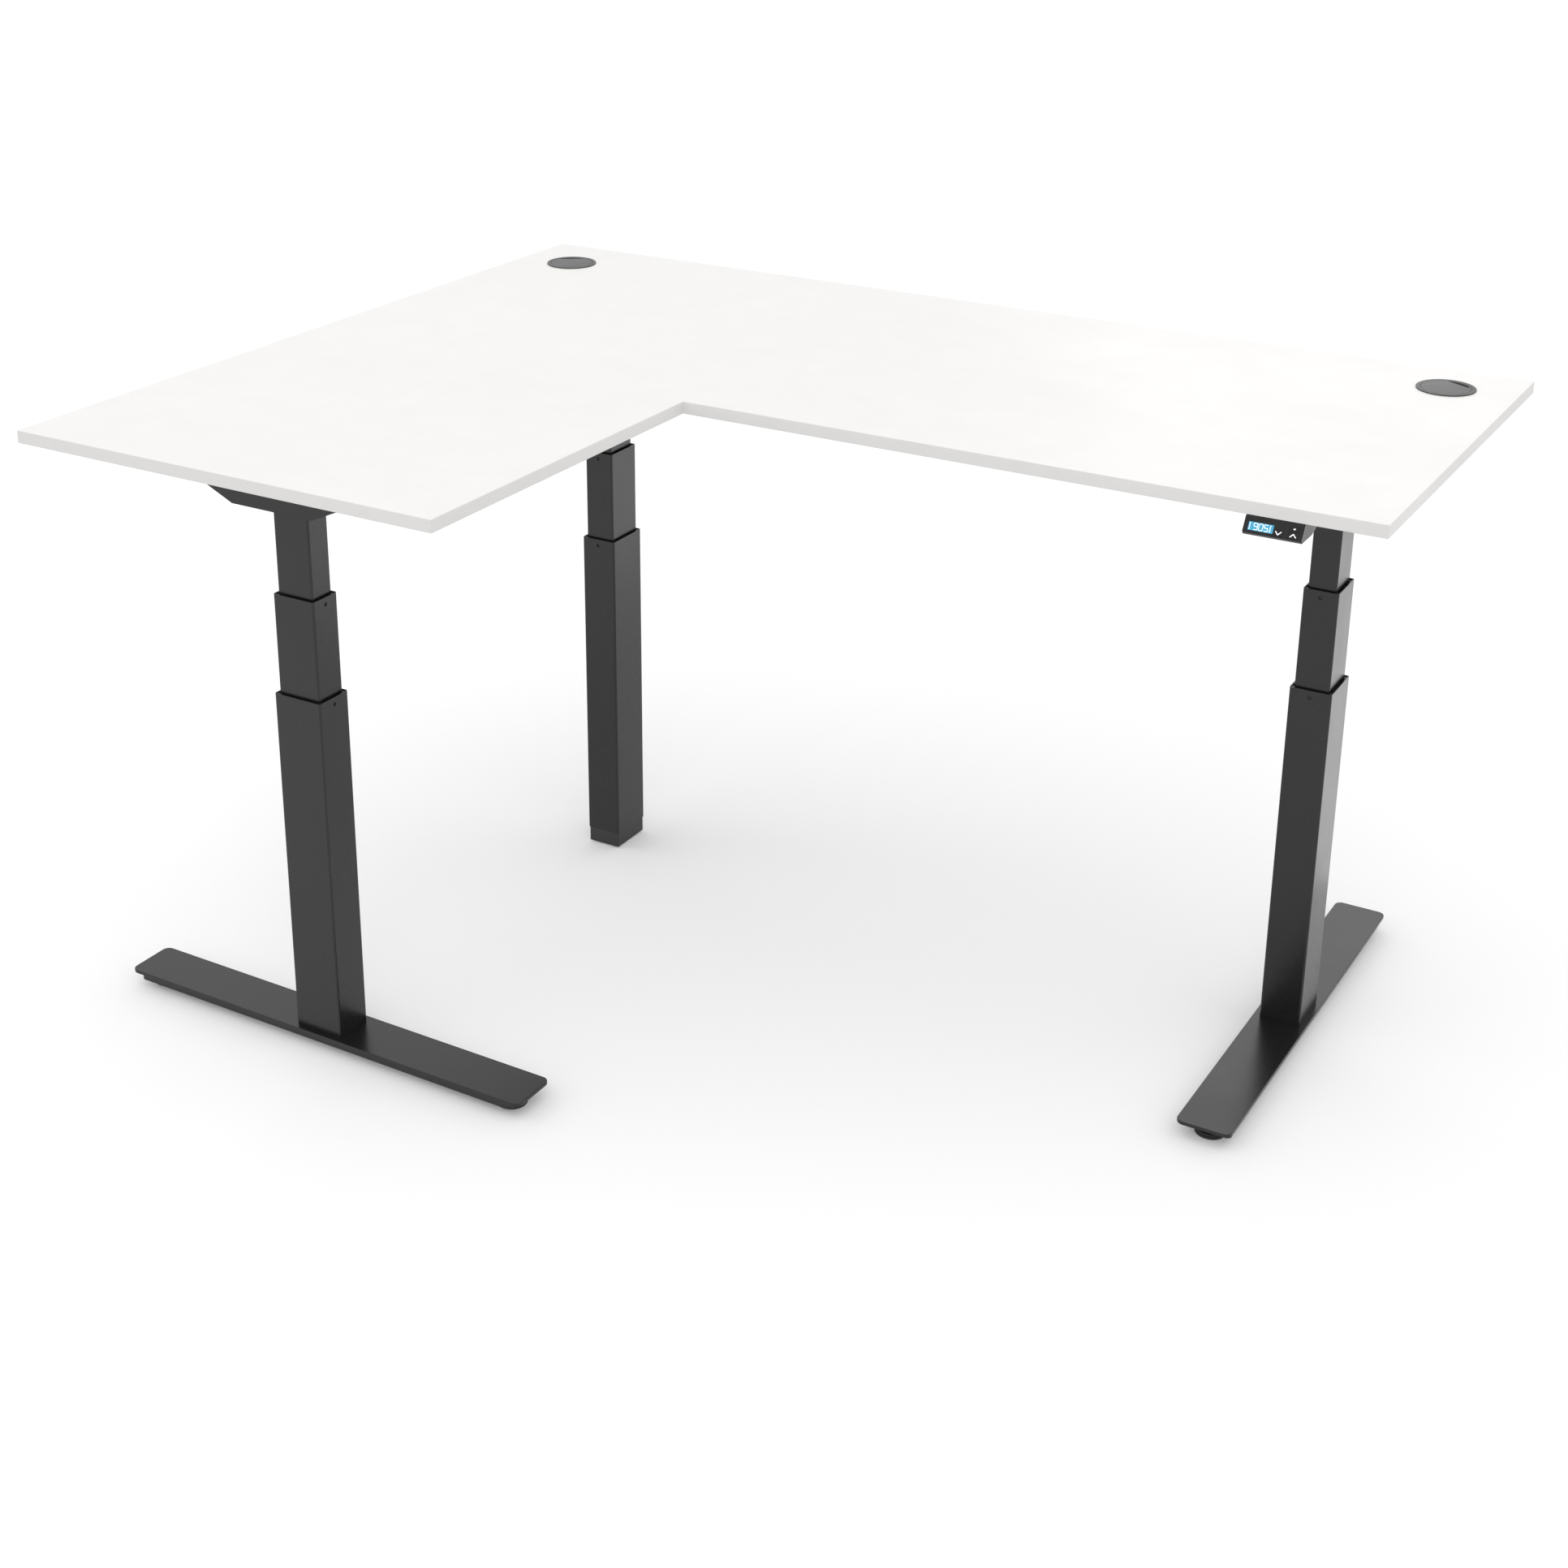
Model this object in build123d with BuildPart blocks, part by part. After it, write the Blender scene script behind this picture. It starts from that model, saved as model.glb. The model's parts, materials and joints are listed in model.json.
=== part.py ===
"""Corner standing desk: an L-shaped top on three electric telescopic columns.

Millimetres, +Z up. The origin is on the floor, under the middle of the desktop's outer box.
The long back edge runs along X at +Y, the left wing comes forward along -Y, and a person
sits in the inner corner.
"""

from build123d import *
import os
from math import cos, radians, sin

os.makedirs("parts", exist_ok=True)

# --- desktop ---------------------------------------------------------------------------------------
desk_width = 1700.0
desk_length = 1300.0
right_wing_depth = 720.0
left_wing_depth = 700.0
top_thickness = 18.0
band_thickness = 1.2
desk_height = 905.0
edge_round = 0.8

# --- columns: each is (long side, short side) of a rectangular tube --------------------------------
outer_section = (80.0, 60.0)
middle_section = (70.0, 50.0)
inner_section = (60.0, 40.0)
tube_wall = 1.5
tube_corner = 3.0
outer_rim_height = 550.0
middle_rim_height = 696.0
middle_bottom_height = 150.0
inner_bottom_height = 304.0
base_height = 27.0
base_plate = 5.0
glide_clearance = 0.15
pin_hole_diameter = 6.0
pin_hole_below_rim = 10.0
glide_height = 34.0
glide_below_rim = 6.0
glide_pad_below_rim = 1.5
glide_pad_width = 9.0
side_column_inset_x = 367.0
right_column_inset_x = 155.0
back_column_inset_y = 406.0
left_column_inset_y = 142.0

# --- lift screws -----------------------------------------------------------------------------------
post_diameter = 18.0
post_flange_diameter = 36.0
post_top_height = 384.0
post_to_spindle_gap = 2.0
spindle_wall = 4.0
spindle_flange_lip = 2.0
spindle_top_height = 524.0
spindle_cap = 15.0
rod_across_flats = 8.6
rod_gap = 1.0
rod_bottom_height = 312.0
rod_journal_diameter = 9.0
rod_end_gap = 3.0
thread_clearance = 0.05
hex_clearance = 0.12
nut_height = 26.0
bearing_height = 15.0
bearing_gap = 2.0
shoe_thickness = 4.0

# --- feet ------------------------------------------------------------------------------------------
foot_length = 715.0
foot_width = 78.0
foot_plate = 5.0
foot_corner = 11.0
channel_depth = 10.0
channel_width = 70.0
channel_wall = 2.5
channel_end_inset = 15.0
channel_corner = 7.0
leveller_diameter = 44.0
leveller_pad = 8.0
leveller_groove = 1.2
leveller_inset = 38.0
stud_diameter = 10.0
stud_top_gap = 1.0
boss_diameter = 20.0
corner_cap_inset = 1.0
corner_pad_height = 2.0
corner_pad_inset = 5.0

# --- head trays and beams --------------------------------------------------------------------------
tray_height = 75.0
tray_wall = 3.0
tray_width = 70.0
tray_back = 102.0
tray_front = 37.0
tray_taper = 122.0
tray_end = 40.0
tray_end_height = 20.0
tray_mouth_inset = 5.0
tray_screw_inset = 18.0
tool_hole_gap = 2.0
corner_tray = (130.0, 190.0)
corner_tray_shift = 25.0
corner_flange = 20.0
corner_screw_inset = 20.0
beam_section = (60.0, 30.0)
beam_wall = 2.0
beam_drop = 20.0
beam_offset = 20.0
beam_overlap = 120.0
beam_joint_share = 0.45
beam_corner = 3.0
beam_slip = 0.5
end_plate = (90.0, 60.0, 4.0)
bolt_diameter = 6.0
bolt_head = (10.0, 4.0)
bolt_inset = 9.0
wood_screw_diameter = 5.0
wood_screw_head = (9.5, 2.8)
wood_screw_depth = 12.0

# --- drive units -----------------------------------------------------------------------------------
gearbox_size = (64.0, 58.0, 50.0)
gearbox_round = 3.0
rod_hole_diameter = 18.0
motor_diameter = 48.0
motor_length = 64.0
motor_lift = 26.0

# --- grommets --------------------------------------------------------------------------------------
grommet_flange = 84.0
grommet_flange_height = 2.0
grommet_hole = 76.0
grommet_wall = 2.0
grommet_depth = 22.0
grommet_ledge = 3.0
cap_diameter = 71.0
cap_thickness = 3.0
cap_slot_radius = 33.0
cap_slot_chord = 25.0
corner_grommet_inset = (99.0, 116.0)
right_grommet_inset = (100.0, 102.0)
corner_slot_angle = 125.0
right_slot_angle = 61.0

# --- keypad ----------------------------------------------------------------------------------------
keypad_inset = 140.0
keypad_width = 76.0
keypad_depth = 62.0
keypad_face = 23.0
keypad_tilt = 32.3
keypad_floor_drop = 23.0
keypad_back_drop = 12.0
keypad_wall = 3.0
keypad_top_gap = 0.4
keypad_toe = 2.0
keypad_rear_round = 5.0
keypad_pocket = 34.0
keypad_board_gap = 2.0
fascia_thickness = 2.0
fascia_corner = 2.5
display_size = (32.0, 11.0)
display_place = (-16.0, -13.0)
display_thickness = 1.7
key_thickness = 2.4
key_proud = 0.4
key_gap = 0.2
key_travel = 0.8
key_pocket_margin = 0.6
keys = {  # name: middle right of and above the face's top edge, width, height
    "key_down": (7.0, -16.6, 11.0, 8.0),
    "key_up": (26.0, -16.6, 12.0, 8.0),
    "key_memory": (26.0, -8.0, 12.0, 6.0),
}

# --- control box -----------------------------------------------------------------------------------
box_size = (260.0, 110.0, 38.0)
box_wall = 2.5
box_place = (150.0, 470.0)
socket_size = (16.0, 9.0)
socket_spacing = 26.0
socket_depth = 1.6
socket_count = 6
box_corner = 6.0
box_edge_round = 2.0
box_ear = 14.0
board_thickness = 1.6
board_gap = 4.0
board_parts = [  # middle right of and behind the board's middle, length, depth, height
    (-80.0, 15.0, 50.0, 50.0, 24.0),
    (-15.0, 10.0, 40.0, 40.0, 18.0),
    (60.0, 5.0, 60.0, 12.0, 22.0),
]

# --- places worked out from the sizes --------------------------------------------------------------
left_x = -desk_width / 2
right_x = desk_width / 2
back_y = desk_length / 2
front_y = -desk_length / 2
inner_x = left_x + left_wing_depth
inner_y = back_y - right_wing_depth
underside = desk_height - top_thickness
tray_floor = underside - tray_height
beam_middle = underside - beam_drop - beam_section[1] / 2
spindle_bore = post_diameter + 2 * post_to_spindle_gap
spindle_diameter = spindle_bore + 2 * spindle_wall
post_bore = rod_across_flats / cos(radians(30)) + 2 * rod_gap
bearing_seat = middle_bottom_height + bearing_height
gearbox_floor = tray_floor + tray_wall
columns = {
    "left": (left_x + side_column_inset_x, front_y + left_column_inset_y),
    "corner": (left_x + side_column_inset_x, back_y - back_column_inset_y),
    "right": (right_x - right_column_inset_x, back_y - back_column_inset_y),
}
pilot_holes = []


def save(part, name):
    """Labels a finished piece and writes its STEP file."""
    part.part.label = name
    export_step(part.part, f"parts/{name}.step")


def turned(side, size):
    """A section's (x, y) size: the left column's long side lies along X, the others' along Y."""
    long_side, short_side = size
    return (long_side, short_side) if side == "left" else (short_side, long_side)


def shrunk(size, by):
    """A section made smaller by the same amount on every side."""
    return size[0] - 2 * by, size[1] - 2 * by


def along(side, u, w):
    """The (x, y) of a point u forwards and w towards the desk's middle, from a side column's axis."""
    x, y = columns[side]
    return (x + u, y + w) if side == "left" else (x - w, y - u)


def desk_outline(inset):
    """The L-shaped outline, drawn a little inside the desktop's edge."""
    with BuildLine() as outline:
        Polyline(
            (left_x + inset, front_y + inset),
            (inner_x - inset, front_y + inset),
            (inner_x - inset, inner_y + inset),
            (right_x - inset, inner_y + inset),
            (right_x - inset, back_y - inset),
            (left_x + inset, back_y - inset),
            close=True,
        )
    make_face(outline.edges())


# --- columns ---------------------------------------------------------------------------------------
def tube(side, section, bottom, top, holed=True):
    """One stage of a column, with a pin hole for its glide near the rim of both narrow faces."""
    size = turned(side, section)
    with BuildPart() as stage:
        with BuildSketch(Plane.XY.offset(bottom)):
            with Locations(columns[side]):
                RectangleRounded(*size, tube_corner)
                RectangleRounded(*shrunk(size, tube_wall), tube_corner - tube_wall, mode=Mode.SUBTRACT)
        extrude(amount=top - bottom)
        if holed:
            x, y = columns[side]
            pin = Plane(
                origin=(x, y, top - pin_hole_below_rim),
                z_dir=(1, 0, 0) if side == "left" else (0, 1, 0),
            )
            with BuildSketch(pin):
                Circle(pin_hole_diameter / 2)
            extrude(amount=section[0], both=True, mode=Mode.SUBTRACT)
    return stage


def outer_tube(side):
    """The fixed outer stage, closed at the bottom by a welded plate that carries the screw post."""
    stage = tube(side, outer_section, base_height, outer_rim_height)
    with BuildPart() as whole:
        add(stage.part)
        with BuildSketch(Plane.XY.offset(base_height)):
            with Locations(columns[side]):
                RectangleRounded(*shrunk(turned(side, outer_section), tube_wall), tube_corner - tube_wall)
        extrude(amount=base_plate)
    save(whole, f"{side}_outer_tube")


def rim_glide(side, outer, inner, rim):
    """The plastic sleeve that guides the next stage: a ring below the rim, with a pad up at each corner."""
    hole = shrunk(turned(side, inner), -glide_clearance)
    body = shrunk(turned(side, outer), tube_wall)
    with BuildPart() as glide:
        with BuildSketch(Plane.XY.offset(rim - glide_below_rim - glide_height)):
            with Locations(columns[side]):
                RectangleRounded(*body, tube_corner - tube_wall)
                RectangleRounded(*hole, tube_corner, mode=Mode.SUBTRACT)
        extrude(amount=glide_height)
        with BuildSketch(Plane.XY.offset(rim - glide_below_rim)):
            with Locations(columns[side]):
                RectangleRounded(*body, tube_corner - tube_wall)
                RectangleRounded(*hole, tube_corner, mode=Mode.SUBTRACT)
                Rectangle(body[0] - 2 * glide_pad_width, body[1], mode=Mode.SUBTRACT)
                Rectangle(body[0], body[1] - 2 * glide_pad_width, mode=Mode.SUBTRACT)
        extrude(amount=glide_below_rim - glide_pad_below_rim)
    return glide


def end_block(side, own, guide, bottom, height, bore):
    """The block in a stage's lower end: a bored plug, and a shoe below it that slides in the tube."""
    with BuildPart() as block:
        with BuildSketch(Plane.XY.offset(bottom)):
            with Locations(columns[side]):
                RectangleRounded(*shrunk(turned(side, own), tube_wall), tube_corner - tube_wall)
                Circle(bore / 2, mode=Mode.SUBTRACT)
        extrude(amount=height)
        with BuildSketch(Plane.XY.offset(bottom - shoe_thickness)):
            with Locations(columns[side]):
                RectangleRounded(
                    *shrunk(turned(side, guide), tube_wall + glide_clearance), tube_corner - tube_wall
                )
                Circle(bore / 2, mode=Mode.SUBTRACT)
        extrude(amount=shoe_thickness)
    return block


def column(side):
    """All the pieces of one column below its head."""
    x, y = columns[side]
    outer_tube(side)
    save(rim_glide(side, outer_section, middle_section, outer_rim_height), f"{side}_outer_glide")
    save(tube(side, middle_section, middle_bottom_height, middle_rim_height), f"{side}_middle_tube")
    save(tube(side, inner_section, inner_bottom_height, tray_floor, holed=False), f"{side}_inner_tube")

    guide = rim_glide(side, middle_section, inner_section, middle_rim_height)
    bearing = end_block(
        side, middle_section, outer_section, middle_bottom_height, bearing_height,
        spindle_bore + 2 * bearing_gap,
    )
    with BuildPart() as middle_glides:
        add(guide.part)
        add(bearing.part)
    save(middle_glides, f"{side}_middle_glides")

    post_bottom = base_height + base_plate
    with BuildPart() as post:
        with BuildSketch(Plane.XY.offset(post_bottom)):
            with Locations((x, y)):
                Circle(post_flange_diameter / 2)
                Circle(post_bore / 2, mode=Mode.SUBTRACT)
        extrude(amount=base_plate)
        with BuildSketch(Plane.XY.offset(post_bottom + base_plate)):
            with Locations((x, y)):
                Circle(post_diameter / 2)
                Circle(post_bore / 2, mode=Mode.SUBTRACT)
        extrude(amount=post_top_height - post_bottom - base_plate)
    save(post, f"{side}_screw_post")

    with BuildPart() as spindle:
        with BuildSketch(Plane.XY.offset(bearing_seat)):
            with Locations((x, y)):
                Circle(spindle_diameter / 2 + spindle_flange_lip)
                Circle(post_diameter / 2 + thread_clearance, mode=Mode.SUBTRACT)
        extrude(amount=nut_height)
        with BuildSketch(Plane.XY.offset(bearing_seat + nut_height)):
            with Locations((x, y)):
                Circle(spindle_diameter / 2)
                Circle(spindle_bore / 2, mode=Mode.SUBTRACT)
        extrude(amount=spindle_top_height - spindle_cap - bearing_seat - nut_height)
        with BuildSketch(Plane.XY.offset(spindle_top_height - spindle_cap)):
            with Locations((x, y)):
                Circle(spindle_diameter / 2)
                RegularPolygon(
                    rod_across_flats / 2 + hex_clearance, 6, major_radius=False, mode=Mode.SUBTRACT
                )
        extrude(amount=spindle_cap)
    save(spindle, f"{side}_spindle")

    with BuildPart() as rod:
        with BuildSketch(Plane.XY.offset(rod_bottom_height)):
            with Locations((x, y)):
                RegularPolygon(rod_across_flats / 2, 6, major_radius=False)
        extrude(amount=gearbox_floor - 1 - rod_bottom_height)
        with BuildSketch(Plane.XY.offset(gearbox_floor - 1)):
            with Locations((x, y)):
                Circle(rod_journal_diameter / 2)
        extrude(amount=gearbox_size[2] - rod_end_gap)
    save(rod, f"{side}_drive_rod")


def lift_nuts():
    """The nut in the lower end of each inner tube, with a shoe that slides in the middle tube."""
    bore = spindle_diameter + 2 * thread_clearance
    blocks = [
        end_block(side, inner_section, middle_section, inner_bottom_height, nut_height, bore)
        for side in columns
    ]
    with BuildPart() as nuts:
        for block in blocks:
            add(block.part)
    save(nuts, "lift_nuts")


# --- feet ------------------------------------------------------------------------------------------
def foot(side):
    """A T-foot: a flat top plate on a shallow folded channel, with a threaded boss for each leveller."""
    x, y = columns[side]
    plate_bottom = base_height - foot_plate
    channel = (foot_length - 2 * channel_end_inset, channel_width)
    with BuildPart() as t_foot:
        with BuildSketch(Plane.XY.offset(plate_bottom)):
            with Locations((x, y)):
                RectangleRounded(*turned(side, (foot_length, foot_width)), foot_corner)
        extrude(amount=foot_plate)
        fillet(t_foot.edges().group_by(Axis.Z)[-1], edge_round)
        with BuildSketch(Plane.XY.offset(plate_bottom - channel_depth)):
            with Locations((x, y)):
                RectangleRounded(*turned(side, channel), channel_corner)
                RectangleRounded(
                    *shrunk(turned(side, channel), channel_wall), channel_corner - channel_wall,
                    mode=Mode.SUBTRACT,
                )
        extrude(amount=channel_depth)
        with BuildSketch(Plane.XY.offset(plate_bottom - channel_depth)):
            with Locations(*leveller_places(side)):
                Circle(boss_diameter / 2)
        extrude(amount=channel_depth)
        with BuildSketch(Plane.XY.offset(plate_bottom - channel_depth)):
            with Locations(*leveller_places(side)):
                Circle(stud_diameter / 2 + thread_clearance)
        extrude(amount=channel_depth, mode=Mode.SUBTRACT)
    save(t_foot, f"{side}_foot")


def leveller_places(side):
    """The front and rear leveller centres of a T-foot, or the one under the corner column."""
    x, y = columns[side]
    if side == "corner":
        return [(x, y)]
    reach = foot_length / 2 - leveller_inset
    return [(x + reach, y), (x - reach, y)] if side == "left" else [(x, y - reach), (x, y + reach)]


def leveller(name, place, pad_diameter, pad_height, stud_top):
    """A round levelling pad with a rubber-edged groove and its threaded stud."""
    with BuildPart() as pad:
        with BuildSketch():
            with Locations(place):
                Circle(pad_diameter / 2)
        extrude(amount=pad_height / 2)
        with BuildSketch(Plane.XY.offset(pad_height / 2)):
            with Locations(place):
                Circle(pad_diameter / 2 - leveller_groove)
        extrude(amount=pad_height / 2)
        with BuildSketch(Plane.XY.offset(pad_height)):
            with Locations(place):
                Circle(stud_diameter / 2)
        extrude(amount=stud_top - pad_height)
    save(pad, name)


def corner_foot():
    """The square end cap under the corner column, with a boss for its leveller."""
    x, y = columns["corner"]
    size = shrunk(turned("corner", outer_section), corner_cap_inset)
    with BuildPart() as cap:
        with BuildSketch(Plane.XY.offset(corner_pad_height)):
            with Locations((x, y)):
                RectangleRounded(*size, tube_corner)
        extrude(amount=base_height - corner_pad_height)
        with Locations((x, y, base_height)):
            Hole(stud_diameter / 2 + thread_clearance)
    save(cap, "corner_foot")
    pad_diameter = outer_section[1] - 2 * corner_pad_inset
    leveller("corner_leveller", (x, y), pad_diameter, corner_pad_height, base_height - stud_top_gap)


# --- head trays, beams and drive units -------------------------------------------------------------
def profile_plane(side, w):
    """An upright plane across a side column at w, with local X towards the user and local Y up."""
    x, y = along(side, 0, w)
    if side == "left":
        return Plane(origin=(x, y, underside), x_dir=(1, 0, 0), z_dir=(0, -1, 0))
    return Plane(origin=(x, y, underside), x_dir=(0, -1, 0), z_dir=(-1, 0, 0))


def tray_profile(wall):
    """A head tray's side outline below the desktop, or its hollow when a wall is given."""
    slope = (tray_height - tray_end_height) / tray_taper
    shift = wall * (1 + slope**2) ** 0.5 / slope - wall / slope
    reach = tray_taper + tray_end - wall
    top = 0 if wall == 0 else -wall
    with BuildLine() as outline:
        Polyline(
            (-tray_back - reach, top),
            (-tray_back - reach, -tray_end_height + wall),
            (-tray_back - tray_taper + shift, -tray_end_height + wall),
            (-tray_back + shift, -tray_height + wall),
            (tray_front - shift, -tray_height + wall),
            (tray_front + tray_taper - shift, -tray_end_height + wall),
            (tray_front + reach, -tray_end_height + wall),
            (tray_front + reach, top),
            close=True,
        )
    make_face(outline.edges())


def side_tray(side):
    """The folded steel arm at a side column's head: deep over the drive unit, tapering to both ends."""
    inner_half = inner_section[1] / 2
    inward = -1 if side == "left" else 1
    screw_reach = tray_taper + tray_end / 2
    screws = [
        along(side, u, w)
        for u in (-tray_back - screw_reach, tray_front + screw_reach)
        for w in (-inner_half + tray_screw_inset, -inner_half + tray_width - tray_screw_inset)
    ]
    with BuildPart() as tray:
        with BuildSketch(profile_plane(side, -inner_half)):
            tray_profile(0)
        extrude(amount=inward * tray_width)
        with BuildSketch(profile_plane(side, -inner_half + tray_wall)):
            tray_profile(tray_wall)
        extrude(amount=inward * (tray_width - 2 * tray_wall), mode=Mode.SUBTRACT)
        middle = along(side, (tray_front - tray_back) / 2, tray_width / 2 - inner_half)
        mouth = tray_back + tray_front + 2 * (tray_taper - tray_mouth_inset)
        opening = turned(side, (mouth, tray_width - 2 * tray_wall))
        with BuildSketch(Plane.XY.offset(underside - tray_wall)):
            with Locations(middle):
                Rectangle(*opening)
        extrude(amount=tray_wall, mode=Mode.SUBTRACT)
        with BuildSketch(Plane.XY.offset(tray_floor)):
            with Locations(columns[side]):
                Circle(rod_hole_diameter / 2)
        extrude(amount=tray_wall, mode=Mode.SUBTRACT)
        with BuildSketch(Plane.XY.offset(underside)):
            with Locations(*screws):
                Circle(wood_screw_diameter / 2)
        extrude(amount=-tray_wall, mode=Mode.SUBTRACT)
        with BuildSketch(Plane.XY.offset(underside - tray_end_height)):
            with Locations(*screws):
                Circle(wood_screw_head[0] / 2 + tool_hole_gap)
        extrude(amount=tray_wall, mode=Mode.SUBTRACT)
        with BuildSketch(profile_plane(side, tray_width - inner_half)):
            with Locations(*bolt_grid(-beam_offset)):
                Circle(bolt_diameter / 2)
        extrude(amount=-inward * tray_wall, mode=Mode.SUBTRACT)
    pilot_holes.extend(screws)
    save(tray, f"{side}_head_tray")


def bolt_grid(middle):
    """The four bolt centres of a beam's end plate, measured from the desktop's underside."""
    half_width = end_plate[0] / 2 - bolt_inset
    half_height = end_plate[1] / 2 - bolt_inset
    drop = beam_middle - underside
    return [(middle + i * half_width, drop + j * half_height) for i in (-1, 1) for j in (-1, 1)]


def corner_head():
    """The open box at the head of the corner column, with a screw flange all round."""
    x, y = columns["corner"]
    centre = (x, y + corner_tray_shift)
    flange = shrunk(corner_tray, -corner_flange)
    screws = [
        (
            centre[0] + i * (corner_tray[0] + corner_flange) / 2,
            centre[1] + j * (corner_tray[1] / 2 - corner_screw_inset),
        )
        for i in (-1, 1)
        for j in (-1, 1)
    ]
    with BuildPart() as tray:
        with BuildSketch(Plane.XY.offset(tray_floor)):
            with Locations(centre):
                RectangleRounded(*corner_tray, tube_corner)
        extrude(amount=tray_height)
        with BuildSketch(Plane.XY.offset(underside - tray_wall)):
            with Locations(centre):
                RectangleRounded(*flange, tube_corner * 2)
        extrude(amount=tray_wall)
        with BuildSketch(Plane.XY.offset(tray_floor + tray_wall)):
            with Locations(centre):
                RectangleRounded(*shrunk(corner_tray, tray_wall), tray_wall / 3)
        extrude(amount=tray_height - tray_wall, mode=Mode.SUBTRACT)
        with BuildSketch(Plane.XY.offset(tray_floor)):
            with Locations((x, y)):
                Circle(rod_hole_diameter / 2)
        extrude(amount=tray_wall, mode=Mode.SUBTRACT)
        with BuildSketch(Plane.XY.offset(underside)):
            with Locations(*screws):
                Circle(wood_screw_diameter / 2)
        extrude(amount=-tray_wall, mode=Mode.SUBTRACT)
        left_beam_face = Plane(
            origin=(x, centre[1] - corner_tray[1] / 2, underside), x_dir=(1, 0, 0), z_dir=(0, -1, 0)
        )
        with BuildSketch(left_beam_face):
            with Locations(*bolt_grid(-beam_offset)):
                Circle(bolt_diameter / 2)
        extrude(amount=-tray_wall, mode=Mode.SUBTRACT)
        right_beam_face = Plane(
            origin=(x + corner_tray[0] / 2, y, underside), x_dir=(0, 1, 0), z_dir=(1, 0, 0)
        )
        with BuildSketch(right_beam_face):
            with Locations(*bolt_grid(beam_offset)):
                Circle(bolt_diameter / 2)
        extrude(amount=-tray_wall, mode=Mode.SUBTRACT)
    pilot_holes.extend(screws)
    save(tray, "corner_head_tray")


def beam(side):
    """The two telescoping box rails from the corner head to a side head, each with a bolted end plate."""
    reach = tray_width - inner_section[1] / 2
    x, y = columns["corner"]
    if side == "left":
        start = Plane(
            origin=(x - beam_offset, y + corner_tray_shift - corner_tray[1] / 2, beam_middle),
            x_dir=(1, 0, 0), z_dir=(0, -1, 0),
        )
        length = start.origin.Y - (columns["left"][1] + reach)
    else:
        start = Plane(
            origin=(x + corner_tray[0] / 2, y + beam_offset, beam_middle), x_dir=(0, 1, 0), z_dir=(1, 0, 0)
        )
        length = columns["right"][0] - reach - start.origin.X
    joint = length * beam_joint_share
    inner_size = shrunk(beam_section, beam_wall + beam_slip)
    with BuildPart() as inner_rail:
        with BuildSketch(start):
            Rectangle(end_plate[0], end_plate[1])
            with Locations(*plate_bolts()):
                Circle(bolt_diameter / 2, mode=Mode.SUBTRACT)
        extrude(amount=end_plate[2])
        with BuildSketch(start.offset(end_plate[2])):
            with Locations((0, -beam_slip)):
                RectangleRounded(*inner_size, beam_corner / 2)
                RectangleRounded(*shrunk(inner_size, beam_wall), beam_corner / 3, mode=Mode.SUBTRACT)
        extrude(amount=joint + beam_overlap / 2 - end_plate[2])
    save(inner_rail, f"{side}_beam_inner")
    with BuildPart() as outer_rail:
        with BuildSketch(start.offset(length - end_plate[2])):
            Rectangle(end_plate[0], end_plate[1])
            with Locations(*plate_bolts()):
                Circle(bolt_diameter / 2, mode=Mode.SUBTRACT)
        extrude(amount=end_plate[2])
        with BuildSketch(start.offset(joint - beam_overlap / 2)):
            RectangleRounded(*beam_section, beam_corner)
            RectangleRounded(*shrunk(beam_section, beam_wall), beam_corner / 2, mode=Mode.SUBTRACT)
        extrude(amount=length - end_plate[2] - joint + beam_overlap / 2)
    save(outer_rail, f"{side}_beam_outer")
    return start, length


def plate_bolts():
    """The four bolt centres on an end plate, about its middle."""
    half_width = end_plate[0] / 2 - bolt_inset
    half_height = end_plate[1] / 2 - bolt_inset
    return [(i * half_width, j * half_height) for i in (-1, 1) for j in (-1, 1)]


def drive_units():
    """A worm gearbox on each tray floor over its column, and the motor beside it."""
    motor_z = gearbox_floor + motor_lift
    motor_start = gearbox_size[0] / 2
    shift = tray_width / 2 - inner_section[1] / 2
    places = {
        "left": (along("left", 0, shift), along("left", -motor_start, shift), (-1, 0, 0)),
        "right": (along("right", 0, shift), along("right", -motor_start, shift), (0, 1, 0)),
        "corner": (
            columns["corner"],
            (columns["corner"][0], columns["corner"][1] + motor_start),
            (0, 1, 0),
        ),
    }
    with BuildPart() as gearboxes:
        for side, (middle, _, _) in places.items():
            with BuildSketch(Plane.XY.offset(gearbox_floor)):
                with Locations(middle):
                    RectangleRounded(*turned(side, gearbox_size[:2]), gearbox_round)
                with Locations(columns[side]):
                    Circle(rod_journal_diameter / 2 + thread_clearance, mode=Mode.SUBTRACT)
            extrude(amount=gearbox_size[2])
    save(gearboxes, "gearboxes")
    with BuildPart() as motors:
        for _, (mx, my), direction in places.values():
            with BuildSketch(Plane(origin=(mx, my, motor_z), z_dir=direction)):
                Circle(motor_diameter / 2)
            extrude(amount=motor_length)
    save(motors, "lift_motors")


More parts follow.
